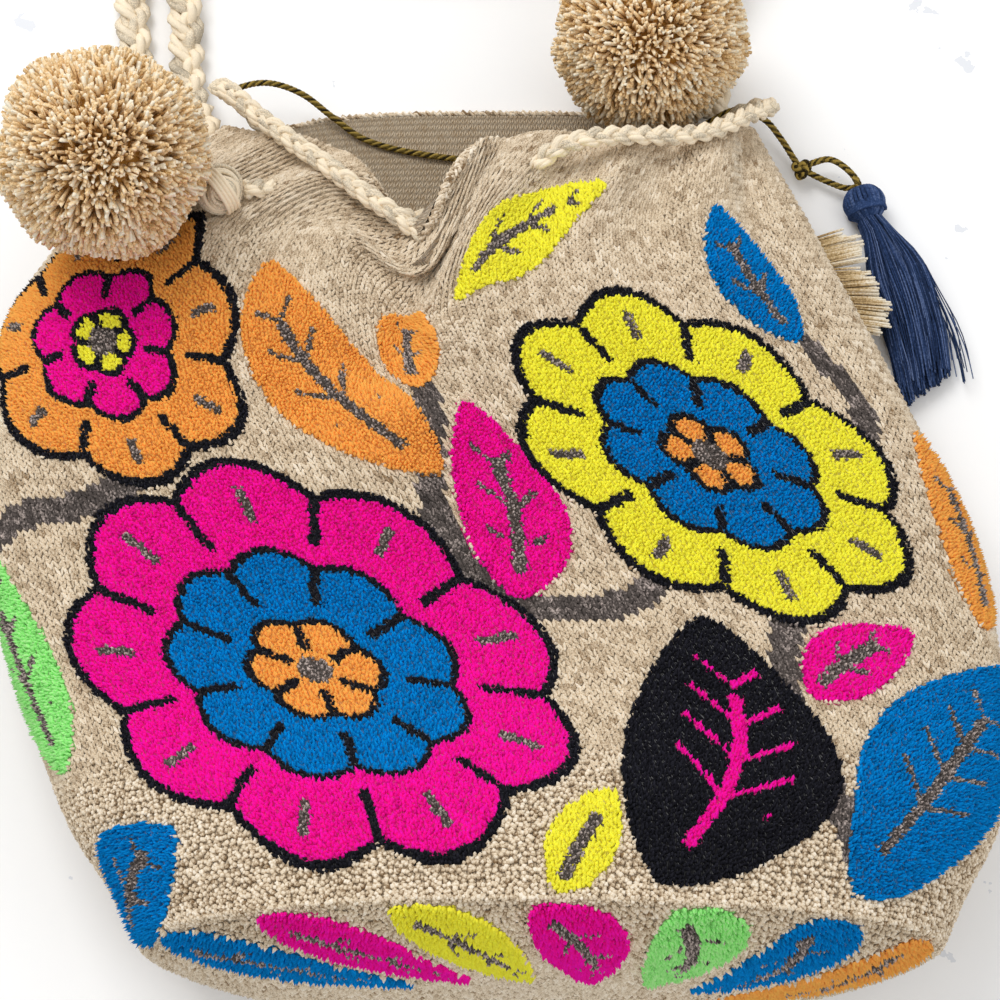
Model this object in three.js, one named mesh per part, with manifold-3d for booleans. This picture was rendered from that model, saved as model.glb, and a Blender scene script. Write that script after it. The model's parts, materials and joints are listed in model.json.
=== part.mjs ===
// A crocheted drawstring tote bag with raised pile embroidery, lying on its back.
// Millimetres, +Z up, +Y from the base towards the mouth, +X to the right, the back on z = 0.
import * as THREE from "three";
import { mergeVertices } from "three/addons/utils/BufferGeometryUtils.js";
import Module from "manifold-3d";

// Body: the crocheted wall and base
const wall = 3.5;
const roundLength = 660; // girth of the fabric, counted in stitches, before the mouth is gathered
const backStart = -8;
const backEnd = 300;
const baseBulge = 13;
const baseReach = 80; // length of fabric from the base's edge to its middle
const baseEdgeRound = 4; // power of the base's roundness, higher is flatter in the middle
const baseRowPower = 1.3; // above 1 the base's rows crowd towards its edge
const gatherFolds = 14;
const gatherDepth = 3.2;
const gatherStart = 0.66; // share of the wall's length
const gatherFrom = [0.02, 0.3]; // shares of the height between which the gathers come in
const gatherLean = 0.35; // how far the gathers lean to the sides
const gatherMiddle = 0.6; // share of the side's height that they lean away from
const frontFrom = [0.15, 0.6]; // shares of the height between which the pleat and notch come in
const floorPress = 4; // how far the soft back would hang under the table if the table were not there
const frontProfile = [
  [8, 110],
  [34, 99],
  [66, 78],
  [104, 63],
  [150, 58],
  [205, 57],
  [240, 54],
  [266, 50],
];
// Values at equal steps along the wall, from the base's edge to the rim
const leftHalf = [104, 127, 143, 157, 164, 167, 163, 142, 92];
const rightHalf = [128, 148, 155, 156, 149, 135, 119, 102, 86];
const sideHeight = [50, 42, 34, 29, 27, 26, 25, 24, 24];
const topPower = [2.1, 2.2, 2.4, 2.5, 2.5, 2.5, 2.4, 2.3, 2.2];
const backPower = 3.2;

// The deep pleat below the left eyelet, and the notch that the drawstring pulls into the rim
const pleatDepth = 9;
const pleatEdge = 10;
const pleatReach = 46;
const pleatRoll = 3;
const pleatRollReach = 22;
const pleatFadeStart = 0.55; // share of its path
const pleatPath = [
  [-24, 262],
  [-22, 232],
  [-17, 209],
  [-22, 180],
  [-40, 165],
  [-74, 158],
  [-108, 160],
];
const notchDepth = 36;
const notchX = -23;
const notchLeft = 19;
const notchRight = 11;
const notchStart = 0.6;

// Pompoms and the wound knots beside them
const pomDiameter = 67;
const pomTuftDepth = 1.6;
const pomDetail = 3;
const pomLeftAt = [-126, 244];
const pomRightAt = [51, 309];
const knotRadius = 8;
const seat = 0.3; // gap that pieces in contact keep

// Drawstring: a plaited cord through the eyelets of the rim
const drawstringDiameter = 7;
const eyeletClearance = 1.3;
const eyeletLength = 24;

// Shoulder strap: two flat plaits
const plaitWidth = 14;
const plaitThickness = 7;

// Thin twisted cord with the tassel
const tieDiameter = 2.5;
const tieKnotRadius = 3.6;
const tasselHeadRadius = 7;
const tasselHeadLength = 12;
const tasselLength = 66;
const tasselWidth = 20;
const tasselThickness = 12;
const skirtFolds = 0.12; // depth of the skirt's furrows as a share of its half width
const tuftReach = 17.5;
const tuftThickness = 5;
const tuftStrands = 11;
// Shares of its reach and thickness
const tuftRoot = 0.2;
const tuftDent = 0.72;
const tuftValley = 0.6;
const tuftTipHeight = 0.7;

// Routes, from end to end
const knotLeftSide = [36, -2, -22];
const knotRightSide = [2, -34, -20];
const drawstringRoute = [
  [-83.2, 244.5, 52.6],
  [-78.5, 246.5, 49],
  [-73.5, 249.1, 43],
  [-69, 251, 36.5],
  [-58, 249, 30],
  [-42, 241, 27],
  [-24, 236, 31],
  [-8, 240, 40.5],
  [2, 246.5, 46.2],
  [11, 252.8, 52.6],
  [20, 257.6, 57.8],
  [30, 260.4, 58.3],
  [42, 262.3, 56.4],
  [56, 264.6, 52],
  [68, 268, 47.8],
  [78, 273.5, 44.6],
  [87, 281, 38],
  [93.5, 288, 29],
  [91.5, 292, 22],
  [83, 289.5, 19.8],
  [75, 281.5, 17],
  [64, 270, 12],
  [48, 261, 8],
  [30, 258, 7.5],
  [0, 256, 7.5],
  [-40, 257, 7.5],
  [-60, 262, 8.5],
  [-72, 270, 12],
  [-79, 279, 16],
  [-85, 288, 19.5],
  [-92, 294, 24],
  [-97.5, 294, 32],
  [-93, 289, 39],
  [-82, 277, 43.5],
  [-70, 266, 46],
  [-56, 254, 49.3],
  [-44, 244, 49.6],
  [-34, 236.4, 50.2],
  [-23, 228.6, 47.6],
  [-12, 222.5, 43],
  [6, 226, 41],
  [30, 240, 35],
  [42, 254, 29],
  [49.3, 266.4, 22.6],
];
const plait1Route = [
  [-118, 268.6, 22],
  [-122, 278, 18],
  [-126, 290, 11],
  [-130, 306, 5],
  [-135, 345, 3.8],
  [-136, 385, 3.8],
  [-128, 418, 3.8],
  [-108, 437, 3.8],
  [-80, 443, 3.8],
  [0, 443, 3.8],
  [80, 443, 3.8],
  [108, 434, 3.8],
  [120, 405, 3.8],
  [108, 376, 3.8],
  [80, 366, 3.8],
  [10, 366, 3.8],
  [-60, 366, 3.8],
  [-84, 374, 3.8],
  [-94, 396, 3.8],
  [-84, 418, 3.8],
  [-60, 426, 3.8],
  [0, 426, 3.8],
  [32, 421, 4.5],
  [52, 406, 9.5],
  [61, 387, 18.5],
  [63, 366, 21.4],
  [63, 344, 13],
  [63, 325, 5],
  [62, 300.6, 4.2],
];
const plait2Route = [
  [-102.3, 280.2, 20],
  [-106, 290, 15.5],
  [-110, 300, 9],
  [-113, 314, 5],
  [-115, 340, 6],
  [-118, 355, 10],
  [-121.5, 372, 12.2],
  [-125, 396, 11.8],
  [-120, 420, 11.8],
  [-104, 437, 11.8],
  [-80, 442, 11.8],
  [0, 442, 11.8],
  [80, 442, 11.8],
  [107, 433, 11.8],
  [118, 405, 11.8],
  [107, 377, 11.8],
  [80, 367, 11.8],
  [10, 367, 11.8],
  [-60, 367, 11.8],
  [-83, 375, 11.8],
  [-92, 396, 11.8],
  [-83, 417, 11.8],
  [-60, 425, 11.8],
  [4, 425, 11.8],
  [42, 421, 13.5],
  [66, 407, 20.8],
  [78, 387, 27],
  [80, 366, 23.5],
  [80, 345, 12],
  [79, 325, 5],
  [75.5, 298, 5],
];
const tieRoute = [
  [-97, 303.5, 12.5],
  [-86, 305.5, 14.5],
  [-79, 304.8, 14.8],
  [-70, 302.5, 11.5],
  [-60, 296, 7.5],
  [-48, 288, 5.2],
  [-20, 281, 5.2],
  [20, 279.5, 5.2],
  [48, 281.5, 5.4],
  [62, 286.5, 7],
  [74, 292, 10.5],
  [84, 296, 12.5],
  [94, 293.5, 10],
  [100, 287.5, 7],
  [104.8, 279.4, 6],
];
const tieKnotAt = [107, 276, 6];
const loopRoute = [
  [110.5, 278, 6.4],
  [117, 279, 7.5],
  [124, 273.5, 8],
  [126.7, 269.3, 6.6],
  [122.8, 269, 5],
  [117, 271.5, 4.4],
  [111.6, 274.2, 4.6],
];
const tasselHeadAt = [130, 256, 6];
const tasselTip = [147, 190, 4];
const tuftAt = [112.4, 231];
const tuftLift = 11; // above the plane the bag lies on
const tuftFrom = -1.35;
const tuftTo = 1.05;

// Raised pile embroidery
const pileThickness = 1.6;
const { blue, magenta, yellow, orange, black, green } = {
  blue: 0x006ea6,
  magenta: 0xe80f94,
  yellow: 0xf7ee2c,
  orange: 0xff8a3c,
  black: 0x1b191f,
  green: 0x4fc94f,
};
// Flowers: each ring is [part, colour, inner radius, outer radius, lobes, depth of the lobes, turn]
const flowers = [
  ["flower_low", [-60, 80], [
    ["petals", magenta, 43, 70, 9, 9, 0.2],
    ["disc", blue, 20, 41, 9, 5, 0.2],
    ["heart", orange, 3, 18, 6, 3, 0],
  ]],
  ["flower_right", [88, 154], [
    ["petals", yellow, 32, 54, 8, 8, 0],
    ["disc", blue, 14, 30, 8, 4, 0],
    ["heart", orange, 3, 12, 5, 3, 0.4],
  ]],
  ["flower_left", [-92, 192], [
    ["petals", orange, 27, 46, 7, 7, 0.3],
    ["disc", magenta, 12, 25, 7, 4, 0.3],
    ["heart", yellow, 3, 10, 5, 2, 0],
  ]],
];
// Leaves: [name, colour, foot, tip, half width, bend]
const leaves = [
  ["black_leaf", black, [24, 6], [60, 100], 30, -10],
  ["leaf_blue_right", blue, [86, 8], [156, 86], 24, 4],
  ["leaf_orange_middle", orange, [2, 148], [-38, 222], 20, 5],
  ["leaf_magenta_middle", magenta, [8, 106], [22, 172], 15, -4],
  ["leaf_yellow_top", yellow, [34, 214], [82, 248], 14, 3],
  ["leaf_green_left", green, [-152, 50], [-152, 126], 14, 0],
  ["leaf_magenta_right", magenta, [80, 72], [120, 95], 10, 3],
  ["leaf_orange_right", orange, [148, 98], [164, 162], 11, -3],
  ["leaf_yellow_low", yellow, [-8, 3], [12, 34], 9, 0],
  ["leaf_blue_left", blue, [-164, 2], [-120, 26], 13, 2],
  ["leaf_orange_top", orange, [10, 180], [18, 230], 10, 0],
  ["leaf_blue_top", blue, [142, 192], [132, 240], 13, 0],
];
const baseLeafColours = [blue, magenta, yellow, magenta, green, blue, orange];
const baseLeafStart = -150;
const baseLeafSpacing = 45;
const baseLeafFoot = 3;
const baseLeafTip = 46;
const baseLeafLean = 42;
const baseLeafHalf = 14;
const baseLeafBend = 3;
const leafTipHalf = 0.8;
const leafFoot = 0.85; // below 1 the leaf is widest nearer its foot
const leafFullness = 0.8; // below 1 its sides are fuller
const pileLift = 1; // from the skin to the underside of the pile, across the facets' hollows

// Mesh steps
const ringSplit = 30; // a wider ring gets a row of places in its middle
const aroundSteps = 48;
const alongSteps = 16;
const baseRings = 3;
const sectionSamples = 240;
const cordSides = 8;
const drawstringSteps = 44;
const plaitSteps = 36;
const tieSteps = 22;
const loopSteps = 10;
const eyeletSides = 10;
const threadSides = 16;

const catmull = (values, share) => {
  const last = values.length - 1;
  const at = THREE.MathUtils.clamp(share, 0, 1) * last;
  const i = Math.min(Math.floor(at), last - 1);
  const f = at - i;
  const get = (k) => values[THREE.MathUtils.clamp(k, 0, last)];
  const [a, b, c, d] = [get(i - 1), get(i), get(i + 1), get(i + 2)];
  const squared = (2 * a - 5 * b + 4 * c - d) * f * f;
  return 0.5 * (2 * b + (c - a) * f + squared + (3 * b - a - 3 * c + d) * f ** 3);
};
const smooth = (low, high, x) => {
  const f = THREE.MathUtils.clamp((x - low) / (high - low), 0, 1);
  return f * f * (3 - 2 * f);
};
const mix = (a, b, f) => a + (b - a) * f;

const profileCurve = new THREE.SplineCurve(frontProfile.map(([y, z]) => new THREE.Vector2(y, z)));
profileCurve.arcLengthDivisions = 400;
const pleatCurve = new THREE.SplineCurve(pleatPath.map(([x, y]) => new THREE.Vector2(x, y))).getPoints(48);

// Signed distance from the pleat's line: positive on its low side
function pleatDistance(x, y) {
  let best = Infinity;
  let side = 1;
  let fade = 1;
  for (let i = 0; i + 1 < pleatCurve.length; i++) {
    const a = pleatCurve[i];
    const b = pleatCurve[i + 1];
    const [ux, uy] = [b.x - a.x, b.y - a.y];
    const f = THREE.MathUtils.clamp(((x - a.x) * ux + (y - a.y) * uy) / (ux * ux + uy * uy), 0, 1);
    const [dx, dy] = [x - a.x - ux * f, y - a.y - uy * f];
    const d = Math.hypot(dx, dy);
    if (d < best) {
      best = d;
      side = Math.sign(ux * dy - uy * dx) || 1;
      fade = 1 - smooth(pleatFadeStart, 1, (i + f) / (pleatCurve.length - 1));
    }
  }
  return [-best * side, fade];
}

// The outline of the bag at a share of the wall's length, evenly spaced, from the middle of the back
function section(share, count) {
  const top = profileCurve.getPointAt(share);
  const yBack = mix(backStart, backEnd, share);
  const low = catmull(sideHeight, share);
  const power = catmull(topPower, share);
  const left = catmull(leftHalf, share);
  const right = catmull(rightHalf, share);
  const points = [];
  for (let k = 0; k <= sectionSamples; k++) {
    const angle = (2 * Math.PI * k) / sectionSamples - Math.PI / 2;
    const [c, s] = [Math.cos(angle), Math.sin(angle)];
    const e = 2 / (s > 0 ? power : backPower);
    const across = Math.sign(c) * Math.abs(c) ** e;
    const x = across * (c > 0 ? right : left);
    const up = Math.abs(s) ** e;
    const z = s > 0 ? low + (top.y - low) * up : Math.max(0, low - (low + floorPress) * up);
    points.push(new THREE.Vector3(x, mix(yBack, top.x, (1 + s) / 2), z));
  }
  const lengths = [0];
  for (let k = 1; k < points.length; k++) lengths.push(lengths[k - 1] + points[k].distanceTo(points[k - 1]));
  const total = lengths[lengths.length - 1];
  const out = [];
  for (let j = 0, k = 1; j < count; j++) {
    const goal = (total * j) / count;
    while (lengths[k] < goal) k++;
    const f = (goal - lengths[k - 1]) / (lengths[k] - lengths[k - 1]);
    out.push(points[k - 1].clone().lerp(points[k], f));
  }
  return out;
}

// Folds on top of the plain outline: gathers at the mouth, the pleat and the notch
function folded(point, share, around) {
  const height = profileCurve.getPointAt(share).y;
  const low = catmull(sideHeight, share);
  const onFront = smooth(...frontFrom, point.z / height);
  const offBack = smooth(...gatherFrom, point.z / height);
  const wave = Math.sin(2 * Math.PI * gatherFolds * around);
  const out = new THREE.Vector3(point.x * gatherLean, 0, point.z - low * gatherMiddle).normalize();
  const p = point.clone().addScaledVector(out, smooth(gatherStart, 1, share) * gatherDepth * wave * offBack);
  const [d, fade] = pleatDistance(point.x, point.y);
  const drop = d > 0 ? pleatDepth * smooth(0, pleatEdge, d) * Math.exp(-((d / pleatReach) ** 2)) : 0;
  const roll = d > 0 ? 0 : pleatRoll * Math.exp(-((d / pleatRollReach) ** 2));
  p.z += (roll - drop) * fade * onFront;
  const reach = p.x < notchX ? notchLeft : notchRight;
  const dip = Math.exp(-(((p.x - notchX) / reach) ** 2)) * notchDepth;
  p.y -= dip * smooth(notchStart, 1, share) * onFront;
  return p;
}

const outer = [];
for (let i = 0; i <= alongSteps; i++) {
  const share = i / alongSteps;
  outer.push(section(share, aroundSteps).map((p, j) => folded(p, share, j / aroundSteps)));
}
const edge = outer[0];
const baseCentre = new THREE.Vector3();
edge.forEach((p) => baseCentre.addScaledVector(p, 1 / edge.length));
const baseRows = [];
for (let r = 1; r <= baseRings; r++) {
  const f = 1 - (r / (baseRings + 1)) ** baseRowPower;
  baseRows.push(
    edge.map((p) => {
      const q = baseCentre.clone().lerp(p, f);
      q.y = mix(baseCentre.y, p.y, f) - baseBulge * (1 - f ** baseEdgeRound);
      return q;
    }),
  );
}
const basePole = baseCentre.clone();
basePole.y -= baseBulge;

// Closed shell of the body: an outer skin, an inner skin a wall inside it, and the rim that joins them
function bodyGeometry(grow = 0) {
  const rows = [...baseRows.slice().reverse(), ...outer];
  const skin = [basePole, ...rows.flat()];
  const n = aroundSteps;
  const faces = [];
  for (let j = 0; j < n; j++) faces.push([0, 1 + j, 1 + ((j + 1) % n)]);
  for (let i = 0; i + 1 < rows.length; i++) {
    for (let j = 0; j < n; j++) {
      const a = 1 + i * n + j;
      const b = 1 + i * n + ((j + 1) % n);
      faces.push([a, b + n, b], [a, a + n, b + n]);
    }
  }
  const normals = skin.map(() => new THREE.Vector3());
  for (const [a, b, c] of faces) {
    const face = new THREE.Vector3().crossVectors(
      skin[b].clone().sub(skin[a]),
      skin[c].clone().sub(skin[a]),
    );
    for (const k of [a, b, c]) normals[k].add(face);
  }
  normals.forEach((v) => v.normalize());
  const inner = skin.map((p, k) => p.clone().addScaledVector(normals[k], -wall));
  skin.forEach((p, k) => (skin[k] = p.clone().addScaledVector(normals[k], grow)));
  const count = skin.length;
  const index = faces.flat();
  for (const [a, b, c] of faces) index.push(a + count, c + count, b + count);
  const rim = count - n;
  for (let j = 0; j < n; j++) {
    const [a, b] = [rim + j, rim + ((j + 1) % n)];
    index.push(a, b + count, b, a, a + count, b + count);
  }
  const geometry = new THREE.BufferGeometry();
  const places = [...skin, ...inner].flatMap((p) => p.toArray());
  geometry.setAttribute("position", new THREE.Float32BufferAttribute(places, 3));
  geometry.setIndex(index);
  return geometry;
}

const yarnRoughness = 0.95;
const yarnColour = {
  crochet: 0xcdb996,
  pompom: 0xc0a478,
  wound: 0xd8bf92,
  drawstring: 0xd9c39b,
  strap: 0xe3d2ae,
  tie: 0x6d5c2e,
  tassel: 0x24355c,
  tuft: 0xd6c29c,
};

const wasm = await Module();
wasm.setup();
const toSolid = (geometry) => {
  const bare = geometry.clone();
  bare.deleteAttribute("normal");
  bare.deleteAttribute("uv");
  const merged = mergeVertices(bare, 1e-4);
  return new wasm.Manifold(
    new wasm.Mesh({
      numProp: 3,
      vertProperties: new Float32Array(merged.attributes.position.array),
      triVerts: new Uint32Array(merged.index.array),
    }),
  );
};
const fromSolid = (solid) => {
  const mesh = solid.getMesh();
  const geometry = new THREE.BufferGeometry();
  geometry.setAttribute("position", new THREE.BufferAttribute(new Float32Array(mesh.vertProperties), 3));
  geometry.setIndex(new THREE.BufferAttribute(new Uint32Array(mesh.triVerts), 1));
  return geometry;
};

const bag = new THREE.Group();
function piece(name, geometry, color) {
  geometry.computeVertexNormals();
  const material = new THREE.MeshStandardMaterial({ color, roughness: yarnRoughness, metalness: 0 });
  const mesh = new THREE.Mesh(geometry, material);
  mesh.name = name;
  bag.add(mesh);
}

const vector = ([x, y, z]) => new THREE.Vector3(x, y, z);

// Frames that keep a cord's wide side level while it runs along the table
function flatFrames(path, count) {
  const tangents = [];
  const normals = [];
  const binormals = [];
  for (let i = 0; i <= count; i++) {
    const tangent = path.getTangentAt(i / count);
    const side = new THREE.Vector3().crossVectors(tangent, new THREE.Vector3(0, 0, 1)).normalize();
    tangents.push(tangent);
    normals.push(side);
    binormals.push(new THREE.Vector3().crossVectors(tangent, side));
  }
  return { tangents, normals, binormals };
}

// A tube of an oval section along a smooth curve through the points
function tube(points, width, thickness, sides, steps) {
  const oval = new THREE.Shape();
  for (let i = 0; i < sides; i++) {
    const angle = (2 * Math.PI * (i + 0.5)) / sides;
    const [x, y] = [(width / 2) * Math.cos(angle), (thickness / 2) * Math.sin(angle)];
    if (i === 0) oval.moveTo(x, y);
    else oval.lineTo(x, y);
  }
  oval.closePath();
  const path = new THREE.CatmullRomCurve3(points.map(vector), false, "centripetal");
  path.computeFrenetFrames = (count) => flatFrames(path, count);
  return new THREE.ExtrudeGeometry(oval, { steps, bevelEnabled: false, extrudePath: path });
}

// The body, with an eyelet cut where the drawstring goes through the wall
const eyelets = [
  { at: [-74, 248.8, 43.5], along: [5, 2.7, -6.6] },
  { at: [-23.4, 229.1, 47], along: [22, -13.9, -7.2] },
  { at: [8.5, 251.2, 51], along: [9, 5.8, 6.2] },
];
let shell = toSolid(bodyGeometry());
for (const eyelet of eyelets) {
  const hole = new THREE.CylinderGeometry(
    drawstringDiameter / 2 + eyeletClearance,
    drawstringDiameter / 2 + eyeletClearance,
    eyeletLength,
    eyeletSides,
  );
  const turn = new THREE.Quaternion().setFromUnitVectors(
    new THREE.Vector3(0, 1, 0),
    vector(eyelet.along).normalize(),
  );
  hole.applyQuaternion(turn).translate(...eyelet.at);
  shell = shell.subtract(toSolid(hole));
}
piece("bag_body", fromSolid(shell), yarnColour.crochet);

// A point over the wall or base. across is measured round the girth from the middle of the front, along from
// the base's edge towards the rim (negative on the base), lift out from the skin.
const frontLength = profileCurve.getLength();
function onWall(across, along, lift) {
  const n = aroundSteps;
  const u = (((0.5 - across / roundLength) % 1) + 1) * n;
  const j = Math.floor(u) % n;
  const fu = u - Math.floor(u);
  const rowsUp = [...baseRows.slice().reverse(), ...outer];
  let row;
  if (along >= 0) row = baseRings + Math.min((along / frontLength) * alongSteps, alongSteps - 1e-6);
  else {
    const f = Math.max(0, 1 + along / baseReach);
    row = Math.max(0, baseRings - (1 - f) ** (1 / baseRowPower) * (baseRings + 1));
  }
  const i = Math.floor(row);
  const fr = row - i;
  const [a, b, c, d] = [rowsUp[i][j], rowsUp[i][(j + 1) % n], rowsUp[i + 1][j], rowsUp[i + 1][(j + 1) % n]];
  const p = a.clone().lerp(b, fu).lerp(c.clone().lerp(d, fu), fr);
  const normal = new THREE.Vector3()
    .crossVectors(c.clone().sub(a), b.clone().sub(a))
    .add(new THREE.Vector3().crossVectors(d.clone().sub(b), d.clone().sub(c)))
    .normalize();
  return p.addScaledVector(normal, lift);
}

const keepClear = toSolid(bodyGeometry(seat));

// A raised pile patch over a grid of (across, along) places, closed round its columns if it is a ring
function pile(name, color, rows, columns, ring, at) {
  const position = [];
  const index = [];
  for (const lift of [pileLift + pileThickness, pileLift]) {
    for (let r = 0; r < rows; r++) {
      for (let c = 0; c < columns; c++) position.push(...onWall(...at(r, c), lift).toArray());
    }
  }
  const under = rows * columns;
  const last = ring ? columns : columns - 1;
  const next = (c) => (c + 1) % columns;
  for (let r = 0; r + 1 < rows; r++) {
    for (let c = 0; c < last; c++) {
      const [a, b] = [r * columns + c, r * columns + next(c)];
      const [d, e] = [a + columns, b + columns];
      index.push(a, e, b, a, d, e);
      index.push(a + under, b + under, e + under, a + under, e + under, d + under);
    }
  }
  const rim = [];
  for (let c = 0; c < last; c++) rim.push([c, next(c)]);
  if (!ring) for (let r = 1; r < rows; r++) rim.push([r * columns - 1, (r + 1) * columns - 1]);
  for (let c = last; c > 0; c--) {
    const base = (rows - 1) * columns;
    rim.push([base + (c % columns), base + c - 1]);
  }
  if (!ring) for (let r = rows - 1; r > 0; r--) rim.push([r * columns, (r - 1) * columns]);
  for (const [a, b] of rim) index.push(a, b, b + under, a, b + under, a + under);
  const geometry = new THREE.BufferGeometry();
  geometry.setAttribute("position", new THREE.Float32BufferAttribute(position, 3));
  geometry.setIndex(index);
  return piece(name, fromSolid(toSolid(geometry).subtract(keepClear)), color);
}

// A flower of rings and a star: each ring is [inner radius, outer radius, lobes, depth of the lobes, turn]
function flower(name, centre, rings) {
  for (const [part, color, inner, outerRadius, lobes, depth, turn] of rings) {
    const columns = lobes * (outerRadius > ringSplit ? 4 : 2);
    const rows = outerRadius > 2 * ringSplit ? 3 : 2;
    pile(name + "_" + part, color, rows, columns, true, (r, c) => {
      const angle = (2 * Math.PI * c) / columns;
      const wave = Math.abs(Math.cos((lobes * (angle - turn)) / 2));
      const radius = mix(inner, outerRadius - depth * (1 - wave), r / (rows - 1));
      return [centre[0] + radius * Math.cos(angle), centre[1] + radius * Math.sin(angle)];
    });
  }
}

// A leaf from its foot to its tip
function leaf(name, color, foot, tip, halfWidth, bend) {
  const rows = 7;
  const columns = 3;
  const [dx, dy] = [tip[0] - foot[0], tip[1] - foot[1]];
  const length = Math.hypot(dx, dy);
  const [ux, uy] = [dx / length, dy / length];
  pile(name, color, rows, columns, false, (r, c) => {
    const f = r / (rows - 1);
    const half = leafTipHalf + halfWidth * Math.sin(Math.PI * f ** leafFoot) ** leafFullness;
    const side = (c - 1) * half + bend * Math.sin(Math.PI * f);
    return [foot[0] + ux * length * f - uy * side, foot[1] + uy * length * f + ux * side];
  });
}

for (const [name, centre, rings] of flowers) flower(name, centre, rings);
for (const [name, color, foot, tip, halfWidth, bend] of leaves) leaf(name, color, foot, tip, halfWidth, bend);
for (const [i, color] of baseLeafColours.entries()) {
  const at = baseLeafStart + i * baseLeafSpacing;
  const foot = [at, -baseLeafFoot];
  const tip = [at + baseLeafLean, -baseLeafTip];
  leaf("base_leaf_" + (i + 1), color, foot, tip, baseLeafHalf, baseLeafBend);
}

// A number from 0 to 1 that looks random and is the same for equal places
function scatter(p) {
  const [x, y, z] = p.toArray().map((value) => Math.round(value * 7));
  return Math.abs(Math.sin(x * 12.9898 + y * 78.233 + z * 37.719) * 43758.5453) % 1;
}

// A pompom: a ball of cut yarn ends, set down at (x, y) on what is under it, or on a bed of that height
function pompom(name, [x, y], bed) {
  const radius = pomDiameter / 2;
  let z = radius + bed;
  for (const p of outer.flat()) {
    const away = Math.hypot(p.x - x, p.y - y);
    const reach = radius - pomTuftDepth + pileLift + pileThickness + seat;
    if (away < reach) z = Math.max(z, p.z + Math.sqrt(reach ** 2 - away ** 2));
  }
  const ball = new THREE.IcosahedronGeometry(radius, pomDetail);
  const place = ball.getAttribute("position");
  for (let i = 0; i < place.count; i++) {
    const p = new THREE.Vector3().fromBufferAttribute(place, i);
    p.setLength(radius - pomTuftDepth * scatter(p));
    place.setXYZ(i, p.x, p.y, p.z);
  }
  ball.translate(x, y, z);
  piece(name, ball, yarnColour.pompom);
  return new THREE.Vector3(x, y, z);
}
const pomLeft = pompom("pompom_left", pomLeftAt, 0);
const pomRight = pompom("pompom_right", pomRightAt, plaitThickness + seat - pomTuftDepth);

// The wound knot beside each pompom, on the side that the drawstring comes from
function woundKnot(name, pom, towards) {
  const reach = pomDiameter / 2 - pomTuftDepth / 2 + knotRadius + seat;
  const at = pom.clone().addScaledVector(vector(towards).normalize(), reach);
  const ball = new THREE.IcosahedronGeometry(knotRadius, 2);
  ball.translate(at.x, at.y, at.z);
  piece(name, ball, yarnColour.wound);
  return at;
}
woundKnot("pompom_knot_left", pomLeft, knotLeftSide);
woundKnot("pompom_knot_right", pomRight, knotRightSide);

const drawstring = tube(drawstringRoute, drawstringDiameter, drawstringDiameter, cordSides, drawstringSteps);
piece("drawstring", drawstring, yarnColour.drawstring);
piece("strap_plait_1", tube(plait1Route, plaitWidth, plaitThickness, cordSides, plaitSteps), yarnColour.strap);
piece("strap_plait_2", tube(plait2Route, plaitWidth, plaitThickness, cordSides, plaitSteps), yarnColour.strap);
piece("tie_cord", tube(tieRoute, tieDiameter, tieDiameter, cordSides, tieSteps), yarnColour.tie);
piece("tassel_loop", tube(loopRoute, tieDiameter, tieDiameter, cordSides, loopSteps), yarnColour.tie);

const tieKnot = new THREE.IcosahedronGeometry(tieKnotRadius, 1);
tieKnot.translate(...tieKnotAt);
piece("tie_knot", tieKnot, yarnColour.tie);

// The tassel: a bound head, and a skirt of threads fanned flat on the table
const skirtStart = vector(tasselHeadAt);
const skirtWay = vector(tasselTip).sub(skirtStart);
skirtWay.z = 0;
skirtWay.normalize();
const skirtSide = new THREE.Vector3(-skirtWay.y, skirtWay.x, 0);
function threads(name, color, start, way, side, sections, folds) {
  const around = threadSides;
  const position = [];
  const index = [];
  for (const [gone, bend, half, low, high] of sections) {
    for (let c = 0; c < around; c++) {
      const angle = (2 * Math.PI * c) / around;
      const fold = 1 - folds * (c % 2);
      const p = start.clone().addScaledVector(way, gone);
      p.addScaledVector(side, bend + half * Math.cos(angle) * fold);
      p.z = mix(low, high, (1 + Math.sin(angle) * fold) / 2);
      position.push(...p.toArray());
    }
  }
  const rows = sections.length;
  for (let r = 0; r + 1 < rows; r++) {
    for (let c = 0; c < around; c++) {
      const [a, b] = [r * around + c, r * around + ((c + 1) % around)];
      index.push(a, b, b + around, a, b + around, a + around);
    }
  }
  for (let c = 1; c + 1 < around; c++) {
    index.push(0, c + 1, c);
    const base = (rows - 1) * around;
    index.push(base, base + c, base + c + 1);
  }
  const geometry = new THREE.BufferGeometry();
  geometry.setAttribute("position", new THREE.Float32BufferAttribute(position, 3));
  geometry.setIndex(index);
  return piece(name, geometry, color);
}
// Each section is [way along, sideways bend, half width, low, high]
const headTop = 2 * tasselHeadRadius - 2;
threads("tassel_head", yarnColour.tassel, skirtStart, skirtWay, skirtSide, [
  [-tasselHeadLength, 0, 2.4, headTop / 2 - 2, headTop / 2 + 2],
  [-tasselHeadLength + 2.5, 0, tasselHeadRadius - 1, 1.5, headTop - 1],
  [-4, 0, tasselHeadRadius, 1, headTop],
  [-seat, 0, tasselHeadRadius - 2, 2, headTop - 2],
], 0);
threads("tassel_skirt", yarnColour.tassel, skirtStart, skirtWay, skirtSide, [
  [0, 0, tasselHeadRadius - 2, 2, headTop - 2],
  [5, 0, tasselWidth * 0.42, 0.4, tasselThickness],
  [tasselLength * 0.45, 1.5, tasselWidth * 0.48, 0, tasselThickness],
  [tasselLength * 0.8, 0.5, tasselWidth * 0.5, 0, tasselThickness * 0.85],
  [tasselLength, -2, tasselWidth * 0.46, 0, tasselThickness * 0.6],
], skirtFolds);

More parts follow.
